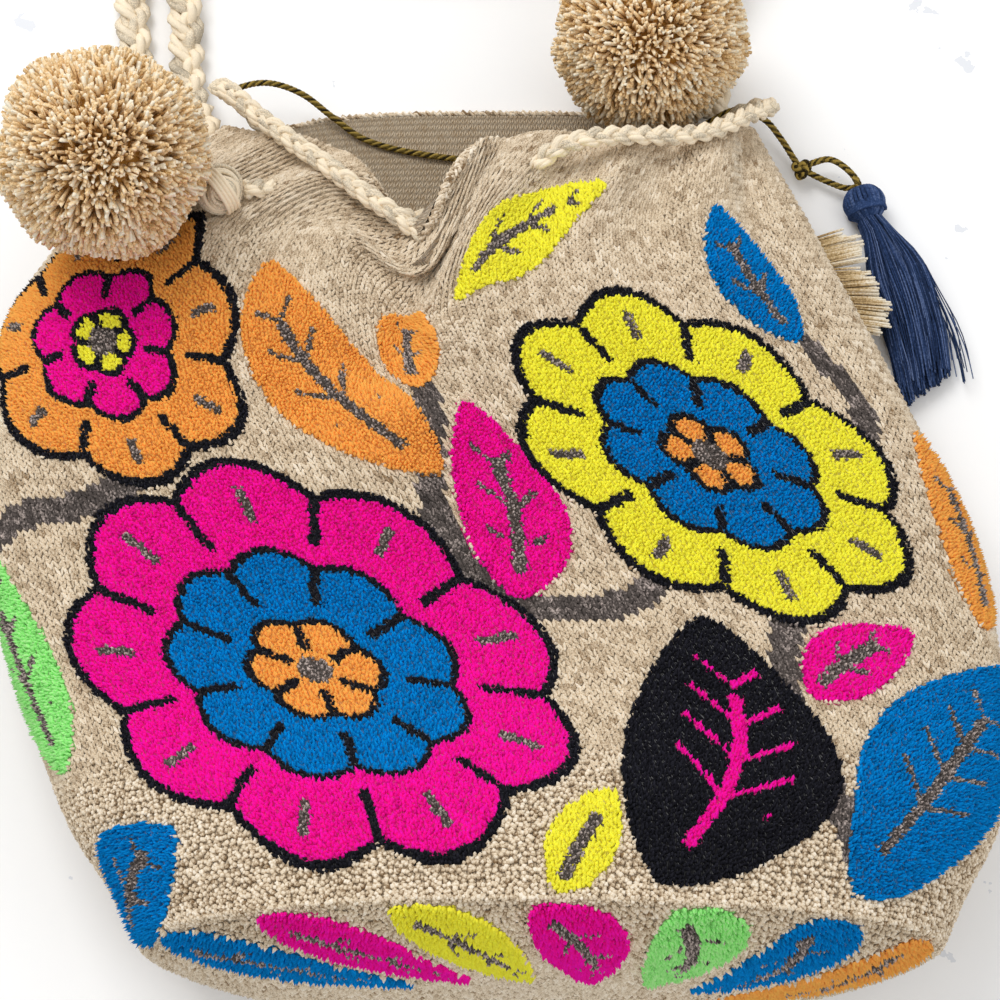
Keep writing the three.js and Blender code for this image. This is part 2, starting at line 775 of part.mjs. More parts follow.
// The fan of cut strand ends that stands out from the right side
function tuft(name, color, [x, y], from, to) {
  const position = [];
  const index = [];
  const columns = tuftStrands * 2 + 1;
  for (const z of [tuftThickness, 0]) {
    for (let r = 0; r < 2; r++) {
      for (let c = 0; c < columns; c++) {
        const angle = mix(from, to, c / (columns - 1));
        const between = c % 2 === 1;
        const radius = tuftReach * (r === 0 ? tuftRoot : between ? tuftDent : 1);
        const height = z * (between ? tuftValley : 1) * (r === 0 ? 1 : tuftTipHeight);
        position.push(x + radius * Math.cos(angle), y + radius * Math.sin(angle), tuftLift + height);
      }
    }
  }
  const under = 2 * columns;
  for (let c = 0; c + 1 < columns; c++) {
    const [a, b, d, e] = [c, c + 1, c + columns, c + 1 + columns];
    index.push(a, d, e, a, e, b);
    index.push(a + under, e + under, d + under, a + under, b + under, e + under);
    index.push(d, d + under, e + under, d, e + under, e);
    index.push(a, b + under, a + under, a, b, b + under);
  }
  const far = columns - 1;
  index.push(0, under, columns + under, 0, columns + under, columns);
  index.push(far, far + columns + under, far + under, far, far + columns, far + columns + under);
  const geometry = new THREE.BufferGeometry();
  geometry.setAttribute("position", new THREE.Float32BufferAttribute(position, 3));
  geometry.setIndex(index);
  return piece(name, geometry, color);
}
tuft("strap_end_tuft", yarnColour.tuft, tuftAt, tuftFrom, tuftTo);

export default bag;
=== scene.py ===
"""A crocheted drawstring tote bag with raised pile embroidery, lying on its back on a pale floor.

The body, its pile fields, pompoms, cords and tassel are built from yarn: stitches, cut ends, strands and
plies, each as its own small shape. Sizes are millimetres where they are named, and metres in the scene.
"""

import json
import math

import bpy
import numpy as np
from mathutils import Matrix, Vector


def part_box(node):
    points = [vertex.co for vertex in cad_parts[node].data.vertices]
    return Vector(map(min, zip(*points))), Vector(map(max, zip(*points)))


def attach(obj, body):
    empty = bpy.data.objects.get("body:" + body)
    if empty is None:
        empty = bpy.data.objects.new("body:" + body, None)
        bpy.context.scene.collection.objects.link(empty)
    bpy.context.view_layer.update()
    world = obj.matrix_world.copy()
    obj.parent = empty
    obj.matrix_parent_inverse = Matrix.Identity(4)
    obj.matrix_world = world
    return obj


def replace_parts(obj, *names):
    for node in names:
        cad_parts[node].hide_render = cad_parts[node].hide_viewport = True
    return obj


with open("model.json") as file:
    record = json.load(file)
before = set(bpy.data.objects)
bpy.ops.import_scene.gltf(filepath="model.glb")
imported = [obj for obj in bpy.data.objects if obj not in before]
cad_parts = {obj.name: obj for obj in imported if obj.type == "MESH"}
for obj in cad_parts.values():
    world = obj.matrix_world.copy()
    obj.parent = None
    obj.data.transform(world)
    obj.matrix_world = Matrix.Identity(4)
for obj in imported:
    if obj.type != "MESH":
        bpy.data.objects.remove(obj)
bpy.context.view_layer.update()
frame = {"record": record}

bl_info = {
    "name": "Crocheted tote bag",
    "version": (1, 0, 0),
    "blender": (4, 5, 0),
    "location": "View3D > Sidebar > Tote Bag",
    "description": "Builds a crocheted drawstring tote bag with pile embroidery, pompoms and a tassel",
    "category": "Add Mesh",
}

MM = 0.001  # metres in a millimetre
TURN = 2 * math.pi  # radians in a full turn

# The body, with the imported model's own measures (mm). "Across" runs round the bag, from its front's
# middle, and "along" runs from the base's edge to the mouth. A share is of the whole way along.
WALL = 3.5
ROUND_LENGTH = 660  # what "across" counts as once round
BACK_START = -8
BACK_END = 300
FRONT_PROFILE = [  # y and height of the front's middle, from the base to the mouth
    (8, 110), (34, 99), (66, 78), (104, 63), (150, 58), (205, 57), (240, 54), (266, 50),
]
# The cross sections, at even shares from the base to the mouth
LEFT_HALF = [104, 127, 143, 157, 164, 167, 163, 142, 92]
RIGHT_HALF = [128, 148, 155, 156, 149, 135, 119, 102, 86]
SIDE_HEIGHT = [50, 42, 34, 29, 27, 26, 25, 24, 24]
TOP_POWER = [2.1, 2.2, 2.4, 2.5, 2.5, 2.5, 2.4, 2.3, 2.2]  # the higher, the squarer
BACK_POWER = 3.2
FLOOR_PRESS = 4  # how far the floor flattens the back
FRONT_FROM = (0.15, 0.6)  # shares of the height over which the back turns into the front
BASE_BULGE = 13
BASE_REACH = 80  # what "along" counts as from the base's middle to its edge
BASE_EDGE_ROUND = 4
GATHER_FOLDS = 14
GATHER_DEPTH = 3.2
GATHER_START = 0.66
GATHER_FROM = (0.02, 0.3)  # shares of the height over which the gathers begin
GATHER_LEAN = 0.35
GATHER_MIDDLE = 0.6
PLEAT_PATH = [(-24, 262), (-22, 232), (-17, 209), (-22, 180), (-40, 165), (-74, 158), (-108, 160)]
PLEAT_DEPTH = 9
PLEAT_EDGE = 10
PLEAT_REACH = 46
PLEAT_ROLL = 3
PLEAT_ROLL_REACH = 22
PLEAT_FADE_START = 0.55
NOTCH_X = -23
NOTCH_DEPTH = 36
NOTCH_LEFT = 19
NOTCH_RIGHT = 11
NOTCH_START = 0.6
AROUND_STEPS = 48
ALONG_STEPS = 16
SECTION_SAMPLES = 240

# Stitches of the crochet (mm)
STITCH_COLUMNS = 254
STITCH_HEIGHT = 2.1
STITCH_WIDTH = ROUND_LENGTH / STITCH_COLUMNS
BASE_ROWS = 38
LOOPS_TO = 46  # how far from the base the crochet is looped instead of flat
PILE_LIFT = 1.2  # how far the pile's ground stands over the crochet
PILE_SINK = 0.5  # how deep the cut ends stand in that ground
SKIN_SINK = 0.3  # how far the plain skin lies under the raised stitches
CORD_ROOM = 2.9  # no stitch stands up nearer than this to the drawstring's middle
PLAIN_WIDTH = 2.6  # ends in wider stitches spread more, up to WIDEST_SPREAD times
WIDEST_SPREAD = 1.6
STITCHES_PARTED = -12  # the x that parts the flat stitches into a left and a right object
LOOP_ENDS = [(-0.26, -0.2), (0.27, -0.05), (-0.02, 0.3)]  # loops in a stitch, in stitches
CUT_ENDS = [(-0.3, -0.27), (0.24, -0.3), (0.0, 0.02), (-0.25, 0.3), (0.3, 0.25)]
RIM_PITCH = 6.5  # one chain stitch of the rim
RIM_STEP = 1.2
RIM_SINK = 0.3  # how far the chain's middle lies inside the edge

# How darkest and lightest fibres differ from the colour of their yarn
PILE_SHADES = {"black": (0.4, 2.4), "charcoal": (0.25, 6.0), "yellow": (0.75, 1.08), "orange": (0.7, 1.25)}
OTHER_SHADES = (0.5, 1.5)

# Routes of the cords' middles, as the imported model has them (mm)
DRAWSTRING_ROUTE = [
    (-83.2, 244.5, 52.6), (-78.5, 246.5, 49), (-73.5, 249.1, 43), (-69, 251, 36.5), (-58, 249, 30),
    (-42, 241, 27), (-24, 236, 31), (-8, 240, 40.5), (2, 246.5, 46.2), (11, 252.8, 52.6),
    (20, 257.6, 57.8), (30, 260.4, 58.3), (42, 262.3, 56.4), (56, 264.6, 52), (68, 268, 47.8),
    (78, 273.5, 44.6), (87, 281, 38), (93.5, 288, 29), (91.5, 292, 22), (83, 289.5, 19.8),
    (75, 281.5, 17), (64, 270, 12), (48, 261, 8), (30, 258, 7.5), (0, 256, 7.5), (-40, 257, 7.5),
    (-60, 262, 8.5), (-72, 270, 12), (-79, 279, 16), (-85, 288, 19.5), (-92, 294, 24),
    (-97.5, 294, 32), (-93, 289, 39), (-82, 277, 43.5), (-70, 266, 46), (-56, 254, 49.3),
    (-44, 244, 49.6), (-34, 236.4, 50.2), (-23, 228.6, 47.6), (-12, 222.5, 43), (6, 226, 41),
    (30, 240, 35), (42, 254, 29), (49.3, 266.4, 22.6),
]
PLAIT_1_ROUTE = [
    (-118, 268.6, 22), (-122, 278, 18), (-126, 290, 11), (-130, 306, 5), (-135, 345, 3.8),
    (-136, 385, 3.8), (-128, 418, 3.8), (-108, 437, 3.8), (-80, 443, 3.8), (0, 443, 3.8),
    (80, 443, 3.8), (108, 434, 3.8), (120, 405, 3.8), (108, 376, 3.8), (80, 366, 3.8),
    (10, 366, 3.8), (-60, 366, 3.8), (-84, 374, 3.8), (-94, 396, 3.8), (-84, 418, 3.8),
    (-60, 426, 3.8), (0, 426, 3.8), (32, 421, 4.5), (52, 406, 9.5), (61, 387, 18.5),
    (63, 366, 21.4), (63, 344, 13), (63, 325, 5), (62, 300.6, 4.2),
]
PLAIT_2_ROUTE = [
    (-102.3, 280.2, 20), (-106, 290, 15.5), (-110, 300, 9), (-113, 314, 5), (-115, 340, 6),
    (-118, 355, 10), (-121.5, 372, 12.2), (-125, 396, 11.8), (-120, 420, 11.8), (-104, 437, 11.8),
    (-80, 442, 11.8), (0, 442, 11.8), (80, 442, 11.8), (107, 433, 11.8), (118, 405, 11.8),
    (107, 377, 11.8), (80, 367, 11.8), (10, 367, 11.8), (-60, 367, 11.8), (-83, 375, 11.8),
    (-92, 396, 11.8), (-83, 417, 11.8), (-60, 425, 11.8), (4, 425, 11.8), (42, 421, 13.5),
    (66, 407, 20.8), (78, 387, 27), (80, 366, 23.5), (80, 345, 12), (79, 325, 5), (75.5, 298, 5),
]
TIE_ROUTE = [
    (-97, 303.5, 12.5), (-86, 305.5, 14.5), (-79, 304.8, 14.8), (-70, 302.5, 11.5), (-60, 296, 7.5),
    (-48, 288, 5.2), (-20, 281, 5.2), (20, 279.5, 5.2), (48, 281.5, 5.4), (62, 286.5, 7),
    (74, 292, 10.5), (84, 296, 12.5), (94, 293.5, 10), (100, 287.5, 7), (104.8, 279.4, 6),
]
# The tie cord goes on through its knot, along the loop and into the middle of the tassel
TIE_CORE = [
    (107, 276, 6), (110.5, 278, 6.4), (117, 279, 7.5), (124, 273.5, 8), (127.5, 267, 6.6),
    (129.2, 260, 6), (131, 252, 6), (135, 238, 6), (139, 222, 6), (141.5, 212, 6),
]
TIE_KNOT = (107, 276, 6)
TIE_PLIES = (0.1, 0.75, 0.3, 0.9)  # the tones of its black and gold plies
TIE_PITCH = 6
TIE_STEP = 0.6
LOOP_ROUTE = [
    (110.5, 278, 6.4), (117, 279, 7.5), (124, 273.5, 8), (126.7, 269.3, 6.6), (122.8, 269, 5),
    (117, 271.5, 4.4), (111.6, 274.2, 4.6), (108.6, 275.6, 5.4),
]
# Pitch of the plaits, the step at which they are made, and the tones of their three strands
DRAWSTRING_PITCH = 17
DRAWSTRING_STEP = 1.35
STRAP_PITCH = 30
STRAP_STEP = 2.2
STRAND_TONES = (0.72, 0.38, 0.55)
# The objects that hang from the two cords
DRAWSTRING_CARRIES = (
    "pompom_knot_left_windings", "pompom_knot_right_windings", "pompom_left_ends", "pompom_right_ends",
)
TIE_CARRIES = ("tie_knot_plies", "tassel_loop_plies", "tassel_head_threads", "tassel_threads")

# Tassel, pompoms and fringe (mm)
TASSEL_HEAD = (130, 256, 6)
TASSEL_TIP = (147, 190, 4)
TASSEL_THREADS = 760
STRAY_EVERY = 48  # each so many threads, one strays from the skirt
HEAD_THREADS = 26
HEAD_TURNS = 5
POMPOM_ENDS = 5800
POMPOM_CORE = 0.8  # share of the radius that the ends' roots fill, and the radius of the dark core of painted shade among them
KNOT_RINGS = 13
KNOT_BANDS = 4
TUFT_PLACE = (228, 13.5)  # its middle along the right side wall, and its height
TUFT_SPAN = 31
TUFT_BULGE = 27  # the height at which the wall stands out most
TUFT_REACH = 18
TUFT_ROOT = 2  # how far the strands start inside the wall
TUFT_BUNDLES = 12
TUFT_LAYERS = ((-1.2, 4), (1.1, 5))  # height over the middle, and strands, of each layer of a bundle
TUFT_LEAN = (-0.16, 0.4)  # how the lowest and the highest strands lean

# Embroidery: rings are (part, yarn, inner radius, outer radius, lobes, depth of the lobes, turn)
FLOWERS = [
    ("flower_low", (-60, 80), [
        ("petals", "magenta", 43, 70, 9, 9, 0.2),
        ("disc", "blue", 20, 41, 9, 5, 0.2),
        ("heart", "orange", 3, 18, 6, 3, 0),
    ]),
    ("flower_right", (88, 154), [
        ("petals", "yellow", 32, 54, 8, 8, 0),
        ("disc", "blue", 14, 30, 8, 4, 0),
        ("heart", "orange", 3, 12, 5, 3, 0.4),
    ]),
    ("flower_left", (-92, 192), [
        ("petals", "orange", 27, 46, 7, 7, 0.3),
        ("disc", "magenta", 12, 25, 7, 4, 0.3),
        ("heart", "yellow", 3, 10, 5, 2, 0),
    ]),
]
# Leaves are (node, yarn, foot, tip, half width, bend)
LEAVES = [
    ("black_leaf", "black", (24, 6), (60, 100), 30, -10),
    ("leaf_blue_right", "blue", (86, 8), (156, 86), 24, 4),
    ("leaf_orange_middle", "orange", (2, 148), (-38, 222), 20, 5),
    ("leaf_magenta_middle", "magenta", (8, 106), (22, 172), 15, -4),
    ("leaf_yellow_top", "yellow", (34, 214), (82, 248), 14, 3),
    ("leaf_green_left", "green", (-152, 50), (-152, 126), 14, 0),
    ("leaf_magenta_right", "magenta", (80, 72), (120, 95), 10, 3),
    ("leaf_orange_right", "orange", (148, 98), (164, 162), 11, -3),
    ("leaf_yellow_low", "yellow", (-8, 3), (12, 34), 9, 0),
    ("leaf_blue_left", "blue", (-164, 2), (-120, 26), 13, 2),
    ("leaf_orange_top", "orange", (10, 180), (18, 230), 10, 0),
    ("leaf_blue_top", "blue", (142, 192), (132, 240), 13, 0),
]
BASE_LEAVES = ["blue", "magenta", "yellow", "magenta", "green", "blue", "orange"]
LEAVES += [
    (f"base_leaf_{i + 1}", colour, (45 * i - 150, -3), (45 * i - 108, -46), 14, 3)
    for i, colour in enumerate(BASE_LEAVES)
]
STEMS = [
    [(56, 118), (42, 106), (24, 102), (6, 104), (-3, 118), (-5, 134), (0, 150), (8, 166), (12, 182)],
    [(84, 98), (76, 82), (72, 60), (78, 34), (88, 12)],
    [(-94, 146), (-112, 138), (-136, 134), (-150, 126)],
    [(142, 160), (150, 172), (146, 190)],
]
STEM_HALF_WIDTH = 4.3
OUTLINE = 3.2
RING_OUTLINE = 1.6  # between the rings of a flower
VEIN = 2.0
RIB_PITCH = 15
RIB_WIDTH = 2.4
FIELDS = ["crochet", "blue", "magenta", "yellow", "orange", "black", "green", "charcoal"]

# Camera and lamps (metres, watts)
CAMERA_TARGET = (0, 0.135, 0.060)
CAMERA_DISTANCE = 0.620
CAMERA_ELEVATION = 72  # degrees
CAMERA_LENS = 72.54
CAMERA_SENSOR = 36
LAMPS = (  # name, place, power, size
    ("window", (-0.5, 0.9, 1.2), 10, 0.8),
    ("fill", (0.9, -0.4, 1.3), 3, 1.2),
)
LAMPS_AIM = (0, 0.14, 0.03)
STUDIO_LIGHT = 0.7
FLOOR_REACH = 3.0


# ---- properties


def yarn_colour(name, description, default):
    return bpy.props.FloatVectorProperty(
        name=name, description=description, subtype="COLOR", size=3, min=0, max=1, default=default
    )


def length_mm(name, description, default):
    return bpy.props.FloatProperty(
        name=name, description=description, default=default * MM, min=0, unit="LENGTH", precision=5
    )


def linear(hexed):
    """A colour as the scene mixes it, from its six display digits"""
    channels = [int(hexed[i : i + 2], 16) / 255 for i in (0, 2, 4)]
    return tuple(c / 12.92 if c <= 0.04045 else ((c + 0.055) / 1.055) ** 2.4 for c in channels)


class TOTE_PG_yarns(bpy.types.PropertyGroup):
    """Yarn colours"""

    crochet: yarn_colour("Crochet", "Heather beige of the body", linear("e3d0b4"))
    cream: yarn_colour("Cream", "Drawstring, shoulder plaits and wound knots", linear("f1e2c8"))
    tan: yarn_colour("Tan", "Cut ends of the pompoms", linear("fad8a4"))
    blue: yarn_colour("Blue pile", "Blue embroidery", linear("007cc4"))
    magenta: yarn_colour("Magenta pile", "Magenta embroidery", linear("ff12a0"))
    yellow: yarn_colour("Yellow pile", "Yellow embroidery", linear("fff746"))
    orange: yarn_colour("Orange pile", "Orange embroidery", linear("ffae54"))
    black: yarn_colour("Black pile", "Black embroidery and outlines", linear("1a1a20"))
    green: yarn_colour("Green pile", "Green embroidery", linear("a0fa8a"))
    charcoal: yarn_colour("Charcoal crochet", "Stems and veins", linear("5f5753"))
    navy: yarn_colour("Navy thread", "Tassel", linear("334872"))
    gold: yarn_colour("Gold thread", "Light plies of the tie cord", linear("a88f48"))


class TOTE_PG_sizes(bpy.types.PropertyGroup):
    """Sizes of the yarn work"""

    pile_height: length_mm("Pile height", "How far cut ends stand over the pile's ground", 1.5)
    pompom: length_mm("Pompom", "Diameter of a pompom", 67)
    knot: length_mm("Pompom knot", "Diameter of the wound knot beside a pompom", 16)
    drawstring: length_mm("Drawstring", "Diameter of the plaited drawstring", 7)
    plait_width: length_mm("Plait width", "Width of a shoulder plait", 14)
    plait_thickness: length_mm("Plait thickness", "Thickness of a shoulder plait", 7)
    tie: length_mm("Tie cord", "Diameter of the twisted tie cord", 2.5)
    tassel: length_mm("Tassel skirt", "Length of the tassel's threads", 66)


def yarns():
    return bpy.context.scene.tote_yarns


def size(name):
    """A size in millimetres"""
    return getattr(bpy.context.scene.tote_sizes, name) / MM


# ---- meshes


class Piece:
    """Collects small yarn shapes, in millimetres, for one mesh object"""

    def __init__(self):
        self.points, self.faces, self.tones, self.count = [], [], [], 0

    def add(self, points, faces, tone=0.5):
        """points (n, 3), faces of three or four corners, tone a number or one for each point"""
        points = np.asarray(points, float).reshape(-1, 3)
        self.points.append(points)
        self.faces.append(np.asarray(faces) + self.count)
        self.tones.append(np.broadcast_to(np.asarray(tone, float), (len(points),)))
        self.count += len(points)

    def add_many(self, shapes, faces, tones):
        """Equal shapes (n, m, 3) with the same faces, and a tone for each shape or each point"""
        n, m = shapes.shape[:2]
        offsets = (np.arange(n) * m)[:, None, None]
        tones = np.asarray(tones, float)
        if tones.ndim == 1:
            tones = np.repeat(tones[:, None], m, axis=1)
        faces = (faces[None] + offsets).reshape(-1, faces.shape[1])
        self.add(shapes.reshape(-1, 3), faces, tones.ravel())

    def build(self, name, material, slot):
        """The mesh object, in metres, riding the bag's one body"""
        points = np.concatenate(self.points) * MM
        points[:, 2] = np.maximum(points[:, 2], 0)  # the bag lies on a flat table
        mesh = bpy.data.meshes.new(name)
        mesh.vertices.add(len(points))
        mesh.vertices.foreach_set("co", points.astype(np.float32).ravel())
        corners = np.concatenate([f.ravel() for f in self.faces])
        sizes = np.concatenate([np.full(len(f), f.shape[1]) for f in self.faces])
        starts = np.concatenate([[0], np.cumsum(sizes)[:-1]])
        mesh.loops.add(len(corners))
        mesh.loops.foreach_set("vertex_index", corners.astype(np.int32))
        mesh.polygons.add(len(sizes))
        mesh.polygons.foreach_set("loop_start", starts.astype(np.int32))
        mesh.polygons.foreach_set("use_smooth", np.ones(len(sizes), bool))
        tone = mesh.attributes.new("tone", "FLOAT", "POINT")
        tone.data.foreach_set("value", np.concatenate(self.tones).astype(np.float32))
        mesh.update(calc_edges=True)
        mesh.validate()
        mesh.materials.append(material)
        piece = bpy.data.objects.new(name, mesh)
        bpy.context.scene.collection.objects.link(piece)
        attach(piece, "root")
        return piece


def unit(v):
    return v / np.maximum(np.linalg.norm(v, axis=-1, keepdims=True), 1e-9)


def gone_along(line):
    """How far each point of a line is from its start, along it"""
    return np.concatenate([[0], np.cumsum(np.linalg.norm(np.diff(line, axis=0), axis=1))])


def spaced(at, gone, values):
    """Values given at the distances gone, read at other distances"""
    return np.column_stack([np.interp(at, gone, values[:, k]) for k in range(3)])


def swing(u, v, angle):
    """Round the circle of two directions, for each angle"""
    return u * np.cos(angle)[:, None] + v * np.sin(angle)[:, None]


def grid_quads(rows, columns):
    """The quads between the points of a grid"""
    i, j = np.meshgrid(np.arange(rows - 1), np.arange(columns - 1), indexing="ij")
    a = i * columns + j
    return np.stack([a, a + 1, a + columns + 1, a + columns], -1).reshape(-1, 4)


def route(points, step):
    """A smooth line in even steps: its places, directions, level sides, upward ways and distances"""
    p = np.asarray(points, float)
    p = np.vstack([2 * p[0] - p[1], p, 2 * p[-1] - p[-2]])
    t = np.linspace(0, 1, 40, endpoint=False)[:, None]
    line = []
    for a, b, c, d in zip(p, p[1:], p[2:], p[3:]):
        ka, kb, kc = (max(np.linalg.norm(v) ** 0.5, 1e-4) for v in (b - a, c - b, d - c))
        start = ((b - a) / ka - (c - a) / (ka + kb) + (c - b) / kb) * kb
        end = ((c - b) / kb - (d - b) / (kb + kc) + (d - c) / kc) * kb
        square = -3 * b + 3 * c - 2 * start - end
        cube = 2 * b - 2 * c + start + end
        line.append(b + start * t + square * t**2 + cube * t**3)
    line = np.vstack(line + [p[-2][None]])
    gone = gone_along(line)
    at = np.linspace(0, gone[-1], max(2, round(gone[-1] / step)) + 1)
    place = spaced(at, gone, line)
    way = unit(np.gradient(place, axis=0))
    side = unit(np.cross(way, [0, 0, 1]))
    return place, way, side, np.cross(side, way), at


def tube(piece, centre, side, wide, high, sides=6, tone=0.5, close=True):
    """A closed yarn along the centre line; wide and high are half sizes, along side and across it"""
    n = len(centre)
    way = unit(np.gradient(centre, axis=0))
    side = unit(side - (side * way).sum(1, keepdims=True) * way)
    up = np.cross(side, way)
    angle = TURN * np.arange(sides) / sides
    wide, high = np.broadcast_to(wide, n), np.broadcast_to(high, n)
    ring = (
        centre[:, None]
        + side[:, None] * (wide[:, None] * np.cos(angle))[..., None]
        + up[:, None] * (high[:, None] * np.sin(angle))[..., None]
    )
    i, j = np.meshgrid(np.arange(n - 1), np.arange(sides), indexing="ij")
    a, b = i * sides + j, i * sides + (j + 1) % sides
    quads = np.stack([a, b, b + sides, a + sides], -1).reshape(-1, 4)
    tone = np.repeat(np.broadcast_to(tone, n), sides)
    piece.add(ring.reshape(-1, 3), quads[:, ::-1], tone)
    if close:
        point = 0.6  # how far the ends stand out, in half sizes
        tips = np.array([centre[0] - way[0] * high[0] * point, centre[-1] + way[-1] * high[-1] * point])
        base = piece.count
        piece.add(tips, np.zeros((0, 3), int), [tone[0], tone[-1]])
        around, onward = np.arange(sides), (np.arange(sides) + 1) % sides
        first, last = base - n * sides, base - sides
        piece.faces.append(np.stack([first + around, first + onward, np.full(sides, base)], -1))
        piece.faces.append(np.stack([last + onward, last + around, np.full(sides, base + 1)], -1))


# ---- materials


class Material:
    """A yarn material, put together from nodes"""

    def __init__(self, name):
        self.material = bpy.data.materials.new(name)
        self.material.use_nodes = True
        self.tree = self.material.node_tree
        self.shader = self.tree.nodes["Principled BSDF"]

    def node(self, kind, inputs=(), output=0, **settings):
        """Adds a node, links or sets its inputs, and gives one of its outputs"""
        made = self.tree.nodes.new("ShaderNode" + kind)
        for key, value in settings.items():
            setattr(made, key, value)
        for key, value in dict(inputs).items():
            if isinstance(value, bpy.types.NodeSocket):
                self.tree.links.new(value, made.inputs[key])
            else:
                made.inputs[key].default_value = value
        return made.outputs[output]

    def math(self, operation, a, b=0.0, c=0.0):
        return self.node("Math", {0: a, 1: b, 2: c}, operation=operation)

    def noise(self, scale, detail):
        place = self.node("TexCoord", output="Object")
        return self.node("TexNoise", {"Scale": scale, "Detail": detail, "Vector": place})

    def ramp(self, value, stops):
        """A colour ramp over the value, through stops of (position, colour)"""
        made = self.tree.nodes.new("ShaderNodeValToRGB")
        elements = made.color_ramp.elements
        elements[0].position, elements[1].position = stops[0][0], stops[-1][0]
        elements[0].color, elements[1].color = (*stops[0][1], 1), (*stops[-1][1], 1)
        for position, colour in stops[1:-1]:
            elements.new(position).color = (*colour, 1)
        self.tree.links.new(value, made.inputs[0])
        return made.outputs[0]

    def mix(self, fac, a, b, blend="MIX"):
        made = self.tree.nodes.new("ShaderNodeMix")
        made.data_type = "RGBA"
        made.blend_type = blend
        for key, value in (("Factor_Float", fac), ("A_Color", a), ("B_Color", b)):
            socket = next(s for s in made.inputs if s.identifier == key)
            if isinstance(value, bpy.types.NodeSocket):
                self.tree.links.new(value, socket)
            else:
                socket.default_value = value if key == "Factor_Float" else (*value[:3], 1)
        return next(s for s in made.outputs if s.identifier == "Result_Color")

    def finish(self, colour, height, distance, strength, roughness=0.95, sheen=0.25, tint=None):
        """Sets the shader; height with its distance and strength is the bump of the finest fibres"""
        tree, shader = self.tree, self.shader
        tree.links.new(colour, shader.inputs["Base Color"])
        shader.inputs["Roughness"].default_value = roughness
        shader.inputs["Specular IOR Level"].default_value = 0.08
        shader.inputs["Sheen Weight"].default_value = sheen
        shader.inputs["Sheen Roughness"].default_value = 0.4
        if tint:
            shader.inputs["Sheen Tint"].default_value = (*tint, 1)
        bump = self.node("Bump", {"Height": height, "Distance": distance, "Strength": strength})
        tree.links.new(bump, shader.inputs["Normal"])
        return self.material


def shade(colour, factor):
    return tuple(min(1, c * factor) for c in colour)


def yarn(name, colour, dark=0.55, light=1.35, fine=1500, sheen=0.25, dark_colour=None, light_colour=None):
    """Spun yarn: the tone of each strand runs from dark to light, with fine fibres over it.

    There is one material of each name; a second call gives the same one.
    """
    if name in bpy.data.materials:
        return bpy.data.materials[name]
    m = Material(name)
    low = dark_colour or shade(colour, dark)
    high = light_colour or shade(colour, light)
    tone = m.node("Attribute", output="Fac", attribute_name="tone")
    fibres = m.noise(fine, 3.0)
    spread = m.math("ADD", tone, m.math("MULTIPLY", m.math("SUBTRACT", fibres, 0.5), 1.1))
    mixed = m.ramp(spread, [(0.1, low), (0.5, colour), (0.9, high)])
    return m.finish(mixed, fibres, 0.0004, 0.5, sheen=sheen, tint=high)


# ---- the body's surface


def catmull(values, places, wrap=False):
    """Smooth values between the rows of an array, at places counted in rows"""
    values = np.asarray(values, float)
    last = len(values) - 1
    places = np.asarray(places, float)
    i = np.floor(places).astype(int)
    if not wrap:
        i = np.clip(i, 0, last - 1)
    f = (places - i).reshape(places.shape + (1,) * (values.ndim - 1))

    def get(k):
        return values[k % len(values)] if wrap else values[np.clip(k, 0, last)]

    a, b, c, d = get(i - 1), get(i), get(i + 1), get(i + 2)
    return 0.5 * (2 * b + (c - a) * f + (2 * a - 5 * b + 4 * c - d) * f**2 + (3 * b - a - 3 * c + d) * f**3)


def ease(low, high, x):
    f = np.clip((x - low) / (high - low), 0, 1)
    return f * f * (3 - 2 * f)


def polyline_distance(x, y, line):
    """Signed distance from a line of points, positive on its left, and the share of the line gone"""
    best = np.full(x.shape, np.inf)
    side = np.ones(x.shape)
    gone = np.zeros(x.shape)
    for i, (a, b) in enumerate(zip(line, line[1:])):
        ux, uy = b - a
        f = np.clip(((x - a[0]) * ux + (y - a[1]) * uy) / (ux * ux + uy * uy), 0, 1)
        dx, dy = x - a[0] - ux * f, y - a[1] - uy * f
        d = np.hypot(dx, dy)
        near = d < best
        best = np.where(near, d, best)
        side = np.where(near, np.where(ux * dy - uy * dx < 0, -1, 1), side)
        gone = np.where(near, (i + f) / (len(line) - 1), gone)
    return best * side, gone


